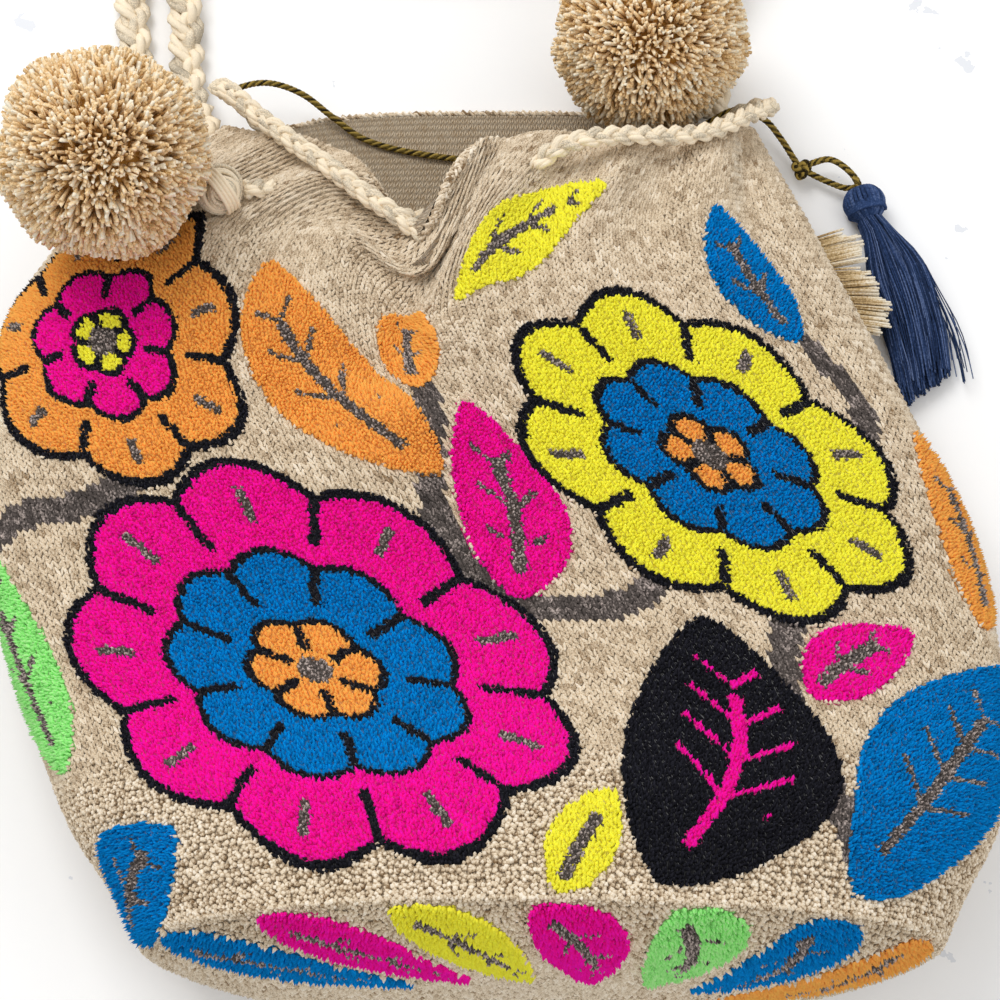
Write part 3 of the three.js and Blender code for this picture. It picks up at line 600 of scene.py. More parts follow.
class Surface:
    """The crocheted skin as a dense table of places, a quad for each stitch"""

    def __init__(self):
        t = np.linspace(0, 1, 401)
        profile = catmull(FRONT_PROFILE, t * (len(FRONT_PROFILE) - 1))
        gone = gone_along(profile)
        self.front_length = gone[-1]
        share = np.linspace(0, 1, ALONG_STEPS + 1)
        top = catmull(FRONT_PROFILE, np.interp(share * gone[-1], gone, t) * (len(FRONT_PROFILE) - 1))
        eighths = share * (len(LEFT_HALF) - 1)
        low, power = catmull(SIDE_HEIGHT, eighths), catmull(TOP_POWER, eighths)
        left, right = catmull(LEFT_HALF, eighths), catmull(RIGHT_HALF, eighths)
        coarse = np.zeros((ALONG_STEPS + 1, AROUND_STEPS, 3))
        angle = TURN * np.arange(SECTION_SAMPLES + 1) / SECTION_SAMPLES - math.pi / 2
        c, s = np.cos(angle), np.sin(angle)
        for r in range(ALONG_STEPS + 1):
            e = 2 / np.where(s > 0, power[r], BACK_POWER)
            x = np.sign(c) * np.abs(c) ** e * np.where(c > 0, right[r], left[r])
            up = np.abs(s) ** e
            under = np.maximum(0, low[r] - (low[r] + FLOOR_PRESS) * up)
            z = np.where(s > 0, low[r] + (top[r, 1] - low[r]) * up, under)
            back = BACK_START + (BACK_END - BACK_START) * share[r]
            y = back + (top[r, 0] - back) * (1 + s) / 2
            ring = np.stack([x, y, z], -1)
            length = gone_along(ring)
            coarse[r] = spaced(length[-1] * np.arange(AROUND_STEPS) / AROUND_STEPS, length, ring)
        around = np.arange(AROUND_STEPS)[None] / AROUND_STEPS
        coarse = self.fold(coarse, share[:, None], around, top[:, 1:], low[:, None])
        self.rows = round(self.front_length / STITCH_HEIGHT)
        wall = catmull(coarse, np.linspace(0, ALONG_STEPS, self.rows + 1))
        around = np.linspace(0, AROUND_STEPS, STITCH_COLUMNS + 1)
        wall = catmull(wall.transpose(1, 0, 2), around, wrap=True).transpose(1, 0, 2)
        edge = wall[0]
        centre = coarse[0].mean(0)
        f = (np.arange(BASE_ROWS) / BASE_ROWS)[:, None, None]
        base = centre + (edge[None] - centre) * f
        base[..., 1] -= BASE_BULGE * (1 - f[..., 0] ** BASE_EDGE_ROUND)
        self.table = np.concatenate([base, wall])
        self.table[..., 2] = np.maximum(self.table[..., 2], 0)
        along = np.gradient(self.table, axis=0)
        padded = np.concatenate([self.table[:, -2:-1], self.table, self.table[:, 1:2]], axis=1)
        round_way = (padded[:, 2:] - padded[:, :-2]) / 2
        self.normal = unit(np.cross(round_way, along))
        self.normal[0] = (0, -1, 0)
        front = self.normal[BASE_ROWS + self.rows // 3, STITCH_COLUMNS // 2]
        if front[2] < 0:
            self.normal = -self.normal

    @staticmethod
    def fold(p, share, around, height, low):
        """Gathers at the mouth, the pleat and the notch"""
        on_front = ease(*FRONT_FROM, p[..., 2] / height)
        off_back = ease(*GATHER_FROM, p[..., 2] / height)
        rise = p[..., 2] - low * GATHER_MIDDLE
        out = unit(np.stack([p[..., 0] * GATHER_LEAN, p[..., 0] * 0, rise], -1))
        wave = np.sin(TURN * GATHER_FOLDS * around)
        folded = p + out * (ease(GATHER_START, 1, share) * GATHER_DEPTH * wave * off_back)[..., None]
        line = catmull(PLEAT_PATH, np.linspace(0, 1, 49) * (len(PLEAT_PATH) - 1))
        d, gone = polyline_distance(p[..., 0], p[..., 1], line)
        d = -d
        fade = 1 - ease(PLEAT_FADE_START, 1, gone)
        sink = PLEAT_DEPTH * ease(0, PLEAT_EDGE, d) * np.exp(-((d / PLEAT_REACH) ** 2))
        drop = np.where(d > 0, sink, 0)
        roll = np.where(d > 0, 0, PLEAT_ROLL * np.exp(-((d / PLEAT_ROLL_REACH) ** 2)))
        folded[..., 2] += (roll - drop) * fade * on_front
        reach = np.where(folded[..., 0] < NOTCH_X, NOTCH_LEFT, NOTCH_RIGHT)
        dip = np.exp(-(((folded[..., 0] - NOTCH_X) / reach) ** 2)) * NOTCH_DEPTH
        folded[..., 1] -= dip * ease(NOTCH_START, 1, share) * on_front
        return folded

    def look_up(self, table, across, along):
        """A table's values between its stitches"""
        u = ((0.5 - across / ROUND_LENGTH) % 1) * STITCH_COLUMNS
        row = np.where(
            along >= 0,
            BASE_ROWS + along / self.front_length * self.rows,
            (1 + along / BASE_REACH) * BASE_ROWS,
        )
        row = np.clip(row, 0, len(table) - 1.001)
        i, j = np.floor(row).astype(int), np.minimum(np.floor(u).astype(int), STITCH_COLUMNS - 1)
        fr, fu = (row - i)[..., None], (u - j)[..., None]
        low = table[i, j] * (1 - fu) + table[i, j + 1] * fu
        high = table[i + 1, j] * (1 - fu) + table[i + 1, j + 1] * fu
        return low * (1 - fr) + high * fr

    def at(self, across, along, lift=0.0):
        """Places on the skin, or lifted from it"""
        across, along = np.broadcast_arrays(np.asarray(across, float), np.asarray(along, float))
        place = self.look_up(self.table, across, along)
        normal = unit(self.look_up(self.normal, across, along))
        return place + normal * np.broadcast_to(lift, across.shape)[..., None]

    def normal_at(self, across, along):
        return unit(self.look_up(self.normal, np.asarray(across, float), np.asarray(along, float)))

    def east(self, across, along):
        """The way round the bag, level with the skin"""
        return unit(self.at(across + 0.6, along) - self.at(across - 0.6, along))


def embroidery(across, along):
    """For each place: its yarn's number in FIELDS, and the number of its node in field_nodes() or -1"""
    yarn_at = np.zeros(across.shape, int)
    node_at = np.full(across.shape, -1)
    number = {name: i for i, name in enumerate(field_nodes())}

    def put(where, colour, node):
        yarn_at[where] = FIELDS.index(colour)
        node_at[where] = -1 if node is None else number[node]

    for line in STEMS:
        curve = catmull(line, np.linspace(0, 1, 41) * (len(line) - 1))
        put(np.abs(polyline_distance(across, along, curve)[0]) < STEM_HALF_WIDTH, "charcoal", None)
    for name, colour, foot, tip, half_width, bend in LEAVES:
        dx, dy = tip[0] - foot[0], tip[1] - foot[1]
        length = math.hypot(dx, dy)
        ux, uy = dx / length, dy / length
        f = ((across - foot[0]) * ux + (along - foot[1]) * uy) / length
        inside = np.clip(f, 0, 1)
        side = -(across - foot[0]) * uy + (along - foot[1]) * ux - bend * np.sin(math.pi * inside)
        half = 0.8 + half_width * np.sin(math.pi * inside**0.85) ** 0.8
        leaf = (f > 0) & (f < 1) & (np.abs(side) <= half)
        put(leaf, colour, name)
        vein = leaf & (f > 0.12) & (f < 0.72) & (np.abs(side) < VEIN)
        if half_width > 9:
            ribs = (f * length - np.abs(side) * 0.9) % RIB_PITCH < RIB_WIDTH
            vein |= leaf & (f > 0.3) & (f < 0.85) & ribs & (np.abs(side) < half * 0.55)
        put(vein, "magenta" if colour == "black" else "charcoal", name)
    for name, (x, y), rings in FLOWERS:
        dx, dy = across - x, along - y
        radius, angle = np.hypot(dx, dy), np.arctan2(dy, dx)
        limits = [
            outer - depth * (1 - np.abs(np.cos(lobes * (angle - turn) / 2)))
            for _, _, _, outer, lobes, depth, turn in rings
        ]
        for ring, (part, colour, inner, _, lobes, _, turn) in enumerate(rings):
            limit = limits[ring]
            inner = limits[ring + 1] + 2.4 if ring + 1 < len(rings) else inner
            node = name + "_" + part
            put(radius <= limit + (OUTLINE if ring == 0 else RING_OUTLINE), "black", node)
            phase = (angle - turn) * lobes / TURN
            step = TURN / lobes * radius
            middle = np.abs(phase - np.round(phase)) * step
            gap = np.abs(phase - np.floor(phase) - 0.5) * step
            share = (radius - inner) / np.maximum(limit - inner, 1)
            filled = (radius >= inner) & (radius <= limit)
            put(filled, colour, node)
            put(filled & (gap < 1.5) & (share > 0.3), "black", node)
            if part == "petals":
                put((middle < 1.6) & (share > 0.3) & (share < 0.75), "charcoal", node)
            if part == "heart":
                put(radius < inner + 2, "charcoal", node)
    return yarn_at, node_at


def field_nodes():
    """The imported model's nodes of raised pile"""
    names = [leaf[0] for leaf in LEAVES]
    return names + [name + "_" + ring[0] for name, _, rings in FLOWERS for ring in rings]


SURFACE = Surface()


class Stitches:
    """Every stitch of the body: its place, how far its column is drawn in, its yarn and its node"""

    def __init__(self):
        surface = SURFACE
        rows = surface.rows
        across, along, narrow = [], [], []
        for r in range(rows):
            c = np.arange(STITCH_COLUMNS)
            across.append(ROUND_LENGTH / 2 - (c + 0.5) * ROUND_LENGTH / STITCH_COLUMNS)
            along.append(np.full(STITCH_COLUMNS, (r + 0.5) * surface.front_length / rows))
            narrow.append(np.ones(STITCH_COLUMNS))
        for k in range(1, BASE_ROWS):
            f = (k + 0.5) / BASE_ROWS
            n = max(6, round(STITCH_COLUMNS * f))
            across.append(ROUND_LENGTH / 2 - (np.arange(n) + 0.5 * (k % 2)) * ROUND_LENGTH / n)
            along.append(np.full(n, (f - 1) * BASE_REACH))
            narrow.append(np.full(n, STITCH_COLUMNS / n))
        self.across, self.along, self.narrow = (np.concatenate(v) for v in (across, along, narrow))
        self.yarn, self.node = embroidery(self.across, self.along)
        self.place = surface.at(self.across, self.along)
        self.normal = surface.normal_at(self.across, self.along)
        self.pile = (self.node >= 0) | (self.yarn == FIELDS.index("black"))


def ends_of(stitches, index, places, rng):
    """Where ends of yarn stand in the stitches: across, along and the width of their stitch"""
    width = STITCH_WIDTH * stitches.narrow[index]
    row = SURFACE.front_length / SURFACE.rows
    own = np.asarray(places)[:, None] + rng.normal(0, 0.1, (len(places), len(index), 2))
    across = stitches.across[index] + width * own[..., 0]
    along = stitches.along[index] + row * own[..., 1]
    along = np.where(stitches.along[index] < 0, np.minimum(along, -0.01), np.maximum(along, 0.01))
    return across.ravel(), along.ravel(), np.broadcast_to(width, across.shape).ravel()


def tufts(piece, ends, reach, height, lift, tone, rng, rounded=False):
    """Ends of yarn that stand up: leaning points, or rounded loops"""
    across, along, width = ends
    n = len(across)
    rings = ((1.0, 0.0), (0.82, 0.62)) if rounded else ((1.0, 0.0),)  # shares of spread and rise
    sides = [(k, (k + 1) % 4) for k in range(4)]
    faces = [(a, b, b + 4) for a, b in sides] + [(a, b + 4, a + 4) for a, b in sides] if rounded else []
    top = 4 * len(rings)
    faces += [(top - 4 + a, top - 4 + b, top) for a, b in sides]
    normal = SURFACE.normal_at(across, along)
    foot = SURFACE.at(across, along, lift)
    east = SURFACE.east(across, along)
    north = np.cross(normal, east)
    rise = normal * (height * rng.uniform(0.7, 1.2, n))[:, None]
    lean = rng.normal(0, 0.32, (n, 2))
    spread = reach * rng.uniform(0.85, 1.15, n) * np.clip(width / PLAIN_WIDTH, 1, WIDEST_SPREAD)
    turn = rng.uniform(0, math.pi / 2, n)
    own = np.clip(tone + rng.normal(0, 0.2, n), 0, 1)
    # Each end is painted darker at its foot, as shade in the gaps between ends, and lighter at its tip, as
    # painted light
    corners, tones = [], []
    for share, level in rings:
        for k in range(4):
            angle = turn + k * math.pi / 2
            corners.append(foot + rise * level + swing(east, north, angle) * (spread * share)[:, None])
            tones.append(own * (0.5 + 0.4 * level))
    tip = foot + rise + east * lean[:, :1] + north * lean[:, 1:]
    piece.add_many(np.stack(corners + [tip], 1), np.array(faces), np.stack(tones + [own * 0.6 + 0.35], 1))


def legs(piece, stitches, index, fat, rng):
    """The two legs of each crochet stitch, as half-round yarns on the skin"""
    surface = SURFACE
    width = STITCH_WIDTH * stitches.narrow[index]
    row = surface.front_length / surface.rows
    normal = stitches.normal[index]
    faces = [(r + k, r + k + 3, r + k + 4, r + k + 1) for r in (0, 3) for k in (0, 1)]
    own = np.clip(0.5 + rng.normal(0, 0.1, len(index)), 0.02, 0.98)
    for sign in (-1, 1):
        rings = []
        own_fat = fat * rng.uniform(0.82, 1.15, len(index))
        for t, wide, lift in ((0.0, 0.45, 0.05), (0.45, 1.0, 0.55), (1.0, 0.5, 0.25)):
            a = stitches.across[index] + sign * width * (0.06 + 0.40 * t)
            a += rng.normal(0, 0.12, len(index))
            b = stitches.along[index] + row * (-0.62 + 1.25 * t) + rng.normal(0, 0.12, len(index))
            b = np.where(stitches.along[index] < 0, np.minimum(b, -0.01), b)
            centre = surface.at(a, b, lift)
            east = surface.east(a, b)
            north = np.cross(normal, east)
            across_leg = unit(east * 0.86 - north * sign * 0.5)
            for u, v in ((-1, -0.35), (0, 0.75), (1, -0.35)):
                beside = across_leg * (u * 0.68 * wide * own_fat)[:, None]
                rings.append(centre + beside + normal * (v * 0.7 * wide * own_fat)[:, None])
        # The flanks of each leg are painted darker than its crown: painted shade where the yarn turns down to
        # the skin
        low = own * 0.72
        piece.add_many(np.stack(rings, 1), np.array(faces), np.stack([low, own, low] * 3, 1))


# ---- operators


class TOTE_OT_camera(bpy.types.Operator):
    """Looks at the bag from above its base end"""

    bl_idname = "tote.camera"
    bl_label = "Camera"

    def execute(self, context):
        elevation = math.radians(CAMERA_ELEVATION)
        data = bpy.data.cameras.new("camera")
        data.sensor_width = CAMERA_SENSOR
        data.lens = CAMERA_LENS
        data.clip_end = 20
        camera = bpy.data.objects.new("camera", data)
        context.scene.collection.objects.link(camera)
        back = Vector((0, -math.cos(elevation), math.sin(elevation)))
        camera.location = Vector(CAMERA_TARGET) + back * CAMERA_DISTANCE
        camera.rotation_euler = back.to_track_quat("Z", "Y").to_euler()
        context.scene.camera = camera
        return {"FINISHED"}


def plait(piece, points, width, thickness, strand, pitch, step, plies, rng):
    """A three-strand plait along a route; strand is a strand's half sizes. Gives its path and length"""
    place, _, side, up, at = route(points, step)
    for k, tone_of in enumerate(STRAND_TONES):
        phase = TURN * (at / pitch + k / 3)
        centre = place + side * (width * np.sin(phase))[:, None]
        centre += up * (thickness * np.sin(2 * phase))[:, None]
        for ply in range(plies):
            turn = TURN * (ply / plies) + at * 0.35
            offset = strand[0] * 0.5
            own = centre + side * (offset * np.cos(turn))[:, None]
            own += up * (offset * 0.8 * np.sin(turn))[:, None]
            fat = 0.56 * (1 + 0.05 * np.sin(at * 1.3 + k * 2))
            tone = tone_of + 0.1 * rng.standard_normal() + 0.1 * np.sin(at * 0.9 + ply * 2)
            tube(piece, own, side, strand[0] * fat, strand[1] * fat, 5, tone)
    return place * MM, at[-1] * MM


def cream_material():
    return yarn("cream_plait", tuple(yarns().cream), 0.5, 1.12, 2000, 0.05)


class TOTE_OT_drawstring(bpy.types.Operator):
    """Plaits the drawstring through the rim"""

    bl_idname = "tote.drawstring"
    bl_label = "Drawstring"

    def execute(self, context):
        rng = np.random.default_rng(11)
        piece = Piece()
        half = size("drawstring") / 2
        strand = (half * 0.5, half * 0.48)
        wide, thick = half * 0.52, half * 0.34
        plait(piece, DRAWSTRING_ROUTE, wide, thick, strand, DRAWSTRING_PITCH, DRAWSTRING_STEP, 4, rng)
        cord = piece.build("drawstring_plait", cream_material(), "drawstring_yarn")
        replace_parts(cord, "drawstring")
        return {"FINISHED"}


class TOTE_OT_strap(bpy.types.Operator):
    """Plaits the two bands of the shoulder strap"""

    bl_idname = "tote.strap"
    bl_label = "Shoulder strap"

    def execute(self, context):
        rng = np.random.default_rng(12)
        wide, thick = size("plait_width") / 2, size("plait_thickness") / 2
        strand = (wide * 0.46, thick * 0.58)
        for number, points in ((1, PLAIT_1_ROUTE), (2, PLAIT_2_ROUTE)):
            piece = Piece()
            place, length = plait(
                piece, points, wide * 0.52, thick * 0.36, strand, STRAP_PITCH, STRAP_STEP, 3, rng
            )
            band = piece.build(f"strap_band_{number}", cream_material(), "strap_yarn")
            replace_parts(band, f"strap_plait_{number}")
        return {"FINISHED"}


class TOTE_OT_tie_cord(bpy.types.Operator):
    """Twists the tie cord, its knot and the loop that holds the tassel"""

    bl_idname = "tote.tie_cord"
    bl_label = "Tie cord"

    def execute(self, context):
        gold = tuple(yarns().gold)
        material = yarn(
            "tie_cord_yarn", shade(gold, 0.55), fine=1800, sheen=0.1,
            dark_colour=linear("2a2418"), light_colour=gold,
        )
        for name, node, points in (
            ("tie_cord_plies", "tie_cord", TIE_ROUTE + TIE_CORE),
            ("tassel_loop_plies", "tassel_loop", LOOP_ROUTE),
        ):
            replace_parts(self.twist(points).build(name, material, "tie_yarn"), node)
        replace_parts(self.knot().build("tie_knot_plies", material, "tie_yarn"), "tie_knot")
        return {"FINISHED"}

    @staticmethod
    def twist(points):
        """Twisted plies along a route, one for each tone"""
        piece, radius = Piece(), size("tie") / 2
        place, _, side, up, at = route(points, TIE_STEP)
        for k, tone in enumerate(TIE_PLIES):
            phase = TURN * (at / TIE_PITCH + k / len(TIE_PLIES))
            centre = place + side * (radius * 0.5 * np.cos(phase))[:, None]
            centre += up * (radius * 0.5 * np.sin(phase))[:, None]
            tube(piece, centre, side, radius * 0.46, radius * 0.46, 4, tone)
        return piece

    @staticmethod
    def knot():
        """A black and a gold ply, twisted along an overhand knot"""
        piece = Piece()
        t = np.linspace(0, TURN, 90)
        trefoil = np.stack([np.sin(t) + 2 * np.sin(2 * t), np.cos(t) - 2 * np.cos(2 * t), -np.sin(3 * t)], -1)
        for turn, tone in ((0.0, min(TIE_PLIES)), (math.pi, max(TIE_PLIES))):
            phase = t * 9 + turn
            wobble = np.stack([np.cos(phase), np.sin(phase), np.sin(phase + 1)], -1) * 0.5
            centre = np.asarray(TIE_KNOT, float) + trefoil * 0.95 + wobble
            tube(piece, centre, np.array([0.0, 0.0, 1.0]), 0.75, 0.75, 6, tone)
        return piece


class TOTE_OT_tassel(bpy.types.Operator):
    """Hangs the tassel's threads from its bound head"""

    bl_idname = "tote.tassel"
    bl_label = "Tassel"

    def execute(self, context):
        rng = np.random.default_rng(13)
        start = np.asarray(TASSEL_HEAD, float)
        way = np.asarray(TASSEL_TIP, float) - start
        way[2] = 0
        way /= np.linalg.norm(way)
        side = np.array([-way[1], way[0], 0])
        material = yarn(
            "navy_threads", tuple(yarns().navy), 0.4, fine=1400, sheen=0.1, light_colour=linear("6678a0")
        )
        threads = self.skirt(start, way, side, rng).build("tassel_threads", material, "tassel_thread")
        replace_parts(threads, "tassel_skirt")
        bound = self.head(start, way, side, rng).build("tassel_head_threads", material, "tassel_thread")
        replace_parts(bound, "tassel_head")
        return {"FINISHED"}

    @staticmethod
    def skirt(start, way, side, rng):
        """The threads, spread on the table, a few of them astray"""
        piece = Piece()
        steps = np.linspace(0, 1, 12)
        half = 4.0 + 6.2 * ease(0, 0.4, steps) - 0.8 * ease(0.7, 1, steps)
        thick = 12 * (1 - 0.4 * steps) * ease(-0.3, 0.12, steps)
        bow = 3.2 * np.sin(steps * math.pi * 0.95)
        for number in range(TASSEL_THREADS):
            stray = number % STRAY_EVERY == 0
            spread, level = rng.uniform(-1, 1), rng.uniform(0, 1)
            length = size("tassel") * rng.uniform(0.84, 1.0) * (1 - 0.06 * spread)
            wave = rng.normal(0, 0.7) * np.sin(steps * rng.uniform(3, 8) + rng.uniform(0, 6))
            apart = abs(rng.normal(4, 1.5)) * ease(0.35, 1, steps) if stray else 0.0
            rounded = math.sqrt(max(0, 1 - spread**2)) * 0.8 + 0.2
            z = 0.6 + (0.5 + (level - 0.5) * rounded) * thick + rng.normal(0, 0.3) * np.sin(steps * 8)
            across = (1.0 if stray else spread) * half + bow + wave * steps + apart
            centre = start + way * (steps * length)[:, None] + side * across[:, None]
            centre[:, 2] = np.maximum(z, 0.4)
            fat = 0.22 if stray else rng.uniform(0.32, 0.46)
            tube(piece, centre, side, fat, fat, 3, rng.beta(1.6, 2.2), close=False)
        return piece

    @staticmethod
    def head(start, way, side, rng):
        """Threads over the round head, and the one that binds its neck"""
        piece = Piece()
        rows = np.linspace(0, 1, 14)
        radius = 2.2 + 4.6 * np.sin(math.pi * rows**0.8) ** 0.7 * (1 - 0.22 * ease(0.7, 1, rows))
        for k in range(HEAD_THREADS):
            angle = TURN * k / HEAD_THREADS
            centre = start + way * (-12 + rows * 12.4)[:, None] + side * (radius * math.cos(angle))[:, None]
            centre[:, 2] = 6.5 + radius * 0.92 * math.sin(angle)
            tube(piece, centre, side, 0.85, 0.85, 5, 0.3 + 0.4 * rng.random())
        turns = np.linspace(0, HEAD_TURNS * TURN, 110)
        along = -2.6 - 3.2 * turns / turns[-1]
        bind = start + way * along[:, None] + side * (6.6 * np.cos(turns))[:, None]
        bind[:, 2] = 6.5 + 6.0 * np.sin(turns)
        tube(piece, bind, way, 0.6, 0.6, 6, 0.45)
        return piece


def middle_of(node):
    """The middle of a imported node's box, in millimetres"""
    low, high = (np.array(v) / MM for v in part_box(node))
    return (low + high) / 2


class TOTE_OT_pompoms(bpy.types.Operator):
    """Fills the pompoms with cut yarn ends and winds their knots"""

    bl_idname = "tote.pompoms"
    bl_label = "Pompoms"

    def execute(self, context):
        material = yarn(
            "pompom_ends", tuple(yarns().tan), fine=1500, sheen=0.08,
            dark_colour=linear("aa7a38"), light_colour=linear("fff6e0"),
        )
        for seed, node in ((21, "pompom_left"), (22, "pompom_right")):
            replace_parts(self.ends(node, seed).build(node + "_ends", material, "pompom_yarn"), node)
        for seed, node in ((23, "pompom_knot_left"), (24, "pompom_knot_right")):
            wound = self.windings(node, seed).build(node + "_windings", cream_material(), "wound_yarn")
            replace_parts(wound, node)
        return {"FINISHED"}

    @staticmethod
    def ends(node, seed):
        """Cut ends of yarn all round a dark core, which is painted shade deep inside the pompom"""
        rng = np.random.default_rng(seed)
        centre, radius = middle_of(node), size("pompom") / 2
        index = np.arange(POMPOM_ENDS) + 0.5
        polar = np.arccos(1 - 2 * index / POMPOM_ENDS)
        turn = math.pi * (1 + 5**0.5) * index
        out = np.stack([np.cos(turn) * np.sin(polar), np.sin(turn) * np.sin(polar), np.cos(polar)], -1)
        out = unit(out + rng.normal(0, 0.05, out.shape))
        way = unit(out + rng.normal(0, 0.16, out.shape))
        swell = 1 + 0.03 * np.sin(out @ [5.0, 2.0, 3.0] + seed) + 0.02 * np.sin(out @ [-3.0, 7.0, 4.0])
        tip = out * (radius * swell * rng.uniform(0.92, 1.02, POMPOM_ENDS))[:, None]
        root = tip - way * rng.uniform(9, 13, POMPOM_ENDS)[:, None]
        middle = (tip + root) / 2 + rng.normal(0, 0.5, out.shape)
        side = unit(np.cross(way, rng.standard_normal(out.shape)))
        other = np.cross(way, side)
        thick = rng.uniform(0.6, 0.9, POMPOM_ENDS)
        corners = []
        for at, factor in ((root, 0.7), (middle, 1.0), (tip, 0.95)):
            for k in range(3):
                angle = TURN * k / 3
                beside = side * math.cos(angle) + other * math.sin(angle)
                corners.append(at + beside * (thick * factor)[:, None])
        sides = [(r + k, r + (k + 1) % 3) for r in (0, 3) for k in range(3)]
        faces = [face for a, b in sides for face in ((a, b, b + 3), (a, b + 3, a + 3))]
        faces += [(6, 7, 9), (7, 8, 9), (8, 6, 9)]
        # Painted shade and light: each end is darkest at its root and darker at its middle, deep in the
        # pompom, and lighter at its tip
        own = np.clip(rng.normal(0.5, 0.24, POMPOM_ENDS), 0, 1)
        tones = np.stack([own * 0.3] * 3 + [own * 0.65 + 0.05] * 3 + [own * 0.75 + 0.25] * 4, 1)
        piece = Piece()
        piece.add_many(np.stack(corners + [tip + way * 0.25], 1) + centre, np.array(faces), tones)
        # A dark ball at the middle: painted shade between the roots
        t = np.linspace(0, math.pi, 20)
        core = np.stack([np.zeros(20), np.zeros(20), -np.cos(t) * radius * POMPOM_CORE], -1)
        wide = np.sin(t) * radius * POMPOM_CORE + 0.01
        tube(piece, core + centre, np.array([1.0, 0, 0]), wide, wide, 32, 0.02, close=False)
        return piece

    @staticmethod
    def windings(node, seed):
        """Rings of yarn, one inside another, and a band that crosses over them"""
        rng = np.random.default_rng(seed)
        centre, radius = middle_of(node), size("knot") / 2
        piece = Piece()
        t = np.linspace(0, TURN, 32)
        face = unit(np.array([0.35, -0.45, 0.82]))
        u = unit(np.cross(face, [0.2, 1, 0.1]))
        v = np.cross(face, u)
        for turn in range(KNOT_RINGS):
            share = turn / (KNOT_RINGS - 1)
            ring = radius * (0.94 - 0.62 * share) * rng.uniform(0.96, 1.03)
            rise = radius * (-0.35 + 1.0 * math.sin(share * 1.35)) + rng.normal(0, 0.2)
            drift = u * rng.normal(0, 0.3) + v * rng.normal(0, 0.3)
            wobble = 1 + 0.03 * np.sin(t * rng.integers(2, 5) + rng.uniform(0, 6))
            line = centre + drift + face * rise + swing(u, v, t) * (ring * wobble)[:, None]
            tube(piece, line, face, 0.75, 0.7, 6, 0.25 + 0.5 * rng.random(), close=False)
        for turn in range(KNOT_BANDS):
            shift = (turn - (KNOT_BANDS - 1) / 2) * 1.25
            line = centre + (v * 0.8 + u * 0.6) * shift + swing(u * 0.8 - v * 0.6, face, t) * (radius * 0.9)
            tube(piece, line, v, 0.75, 0.65, 6, 0.7 + 0.2 * rng.random(), close=False)
        return piece


class TOTE_OT_cords(bpy.types.Operator):
    """Walks the routes of the drawstring and the tie cord; what they carry is listed but not used"""

    bl_idname = "tote.cords"
    bl_label = "Cords"

    def execute(self, context):
        for name, points, step, every, diameter, carried in (
            ("drawstring_plait", DRAWSTRING_ROUTE, DRAWSTRING_STEP, 3, "drawstring", DRAWSTRING_CARRIES),
            ("tie_cord_plies", TIE_ROUTE + TIE_CORE, 2, 1, "tie", TIE_CARRIES),
        ):
            place, _, _, _, at = route(points, step)
            size(diameter) * MM
        return {"FINISHED"}


def crochet_material(name):
    """The knitted look of stitches, in stitch units, over the colour of each stitch"""
    m = Material(name)
    place = m.node("Attribute", output="Vector", attribute_name="stitch")
    field = m.node("Attribute", output="Color", attribute_name="field")
    x, y = (m.node("SeparateXYZ", {0: place}, output=axis) for axis in ("X", "Y"))
    outward = m.math("ABSOLUTE", m.math("SUBTRACT", m.math("MULTIPLY", m.math("FRACT", x), 2.0), 1.0))
    phase = m.math("FRACT", m.math("SUBTRACT", y, m.math("MULTIPLY", outward, 0.9)))
    across_leg = m.math("SUBTRACT", m.math("MULTIPLY", phase, 2.0), 1.0)
    leg = m.math("SUBTRACT", 1.0, m.math("MULTIPLY", across_leg, across_leg))
    inner = m.math("MINIMUM", m.math("MULTIPLY", outward, 5.0), 1.0)
    outer = m.math("MINIMUM", m.math("MULTIPLY", m.math("SUBTRACT", 1.0, outward), 5.0), 1.0)
    relief = m.math("MULTIPLY", m.math("MULTIPLY", leg, inner), outer)
    fibres = m.noise(1400, 3.0)
    height = m.math("ADD", relief, m.math("MULTIPLY", fibres, 0.5))
    # The tint is a heather mottle of the yarn, with painted shade in the grooves between the legs, where the
    # relief is low
    heather = m.noise(420, 2.0)
    depth = m.math("ADD", m.math("MULTIPLY", relief, 0.45), m.math("MULTIPLY", heather, 0.9))
    tint = m.ramp(depth, [(0.25, (0.72, 0.6, 0.46)), (0.95, (1, 1, 1))])
    return m.finish(m.mix(1.0, field, tint, "MULTIPLY"), height, 0.0007, 0.9)


def crochet_yarn():
    return yarn(
        "crochet_yarn", tuple(yarns().crochet), fine=2200, sheen=0.05,
        dark_colour=linear("8a6f50"), light_colour=linear("fff4e2"),
    )


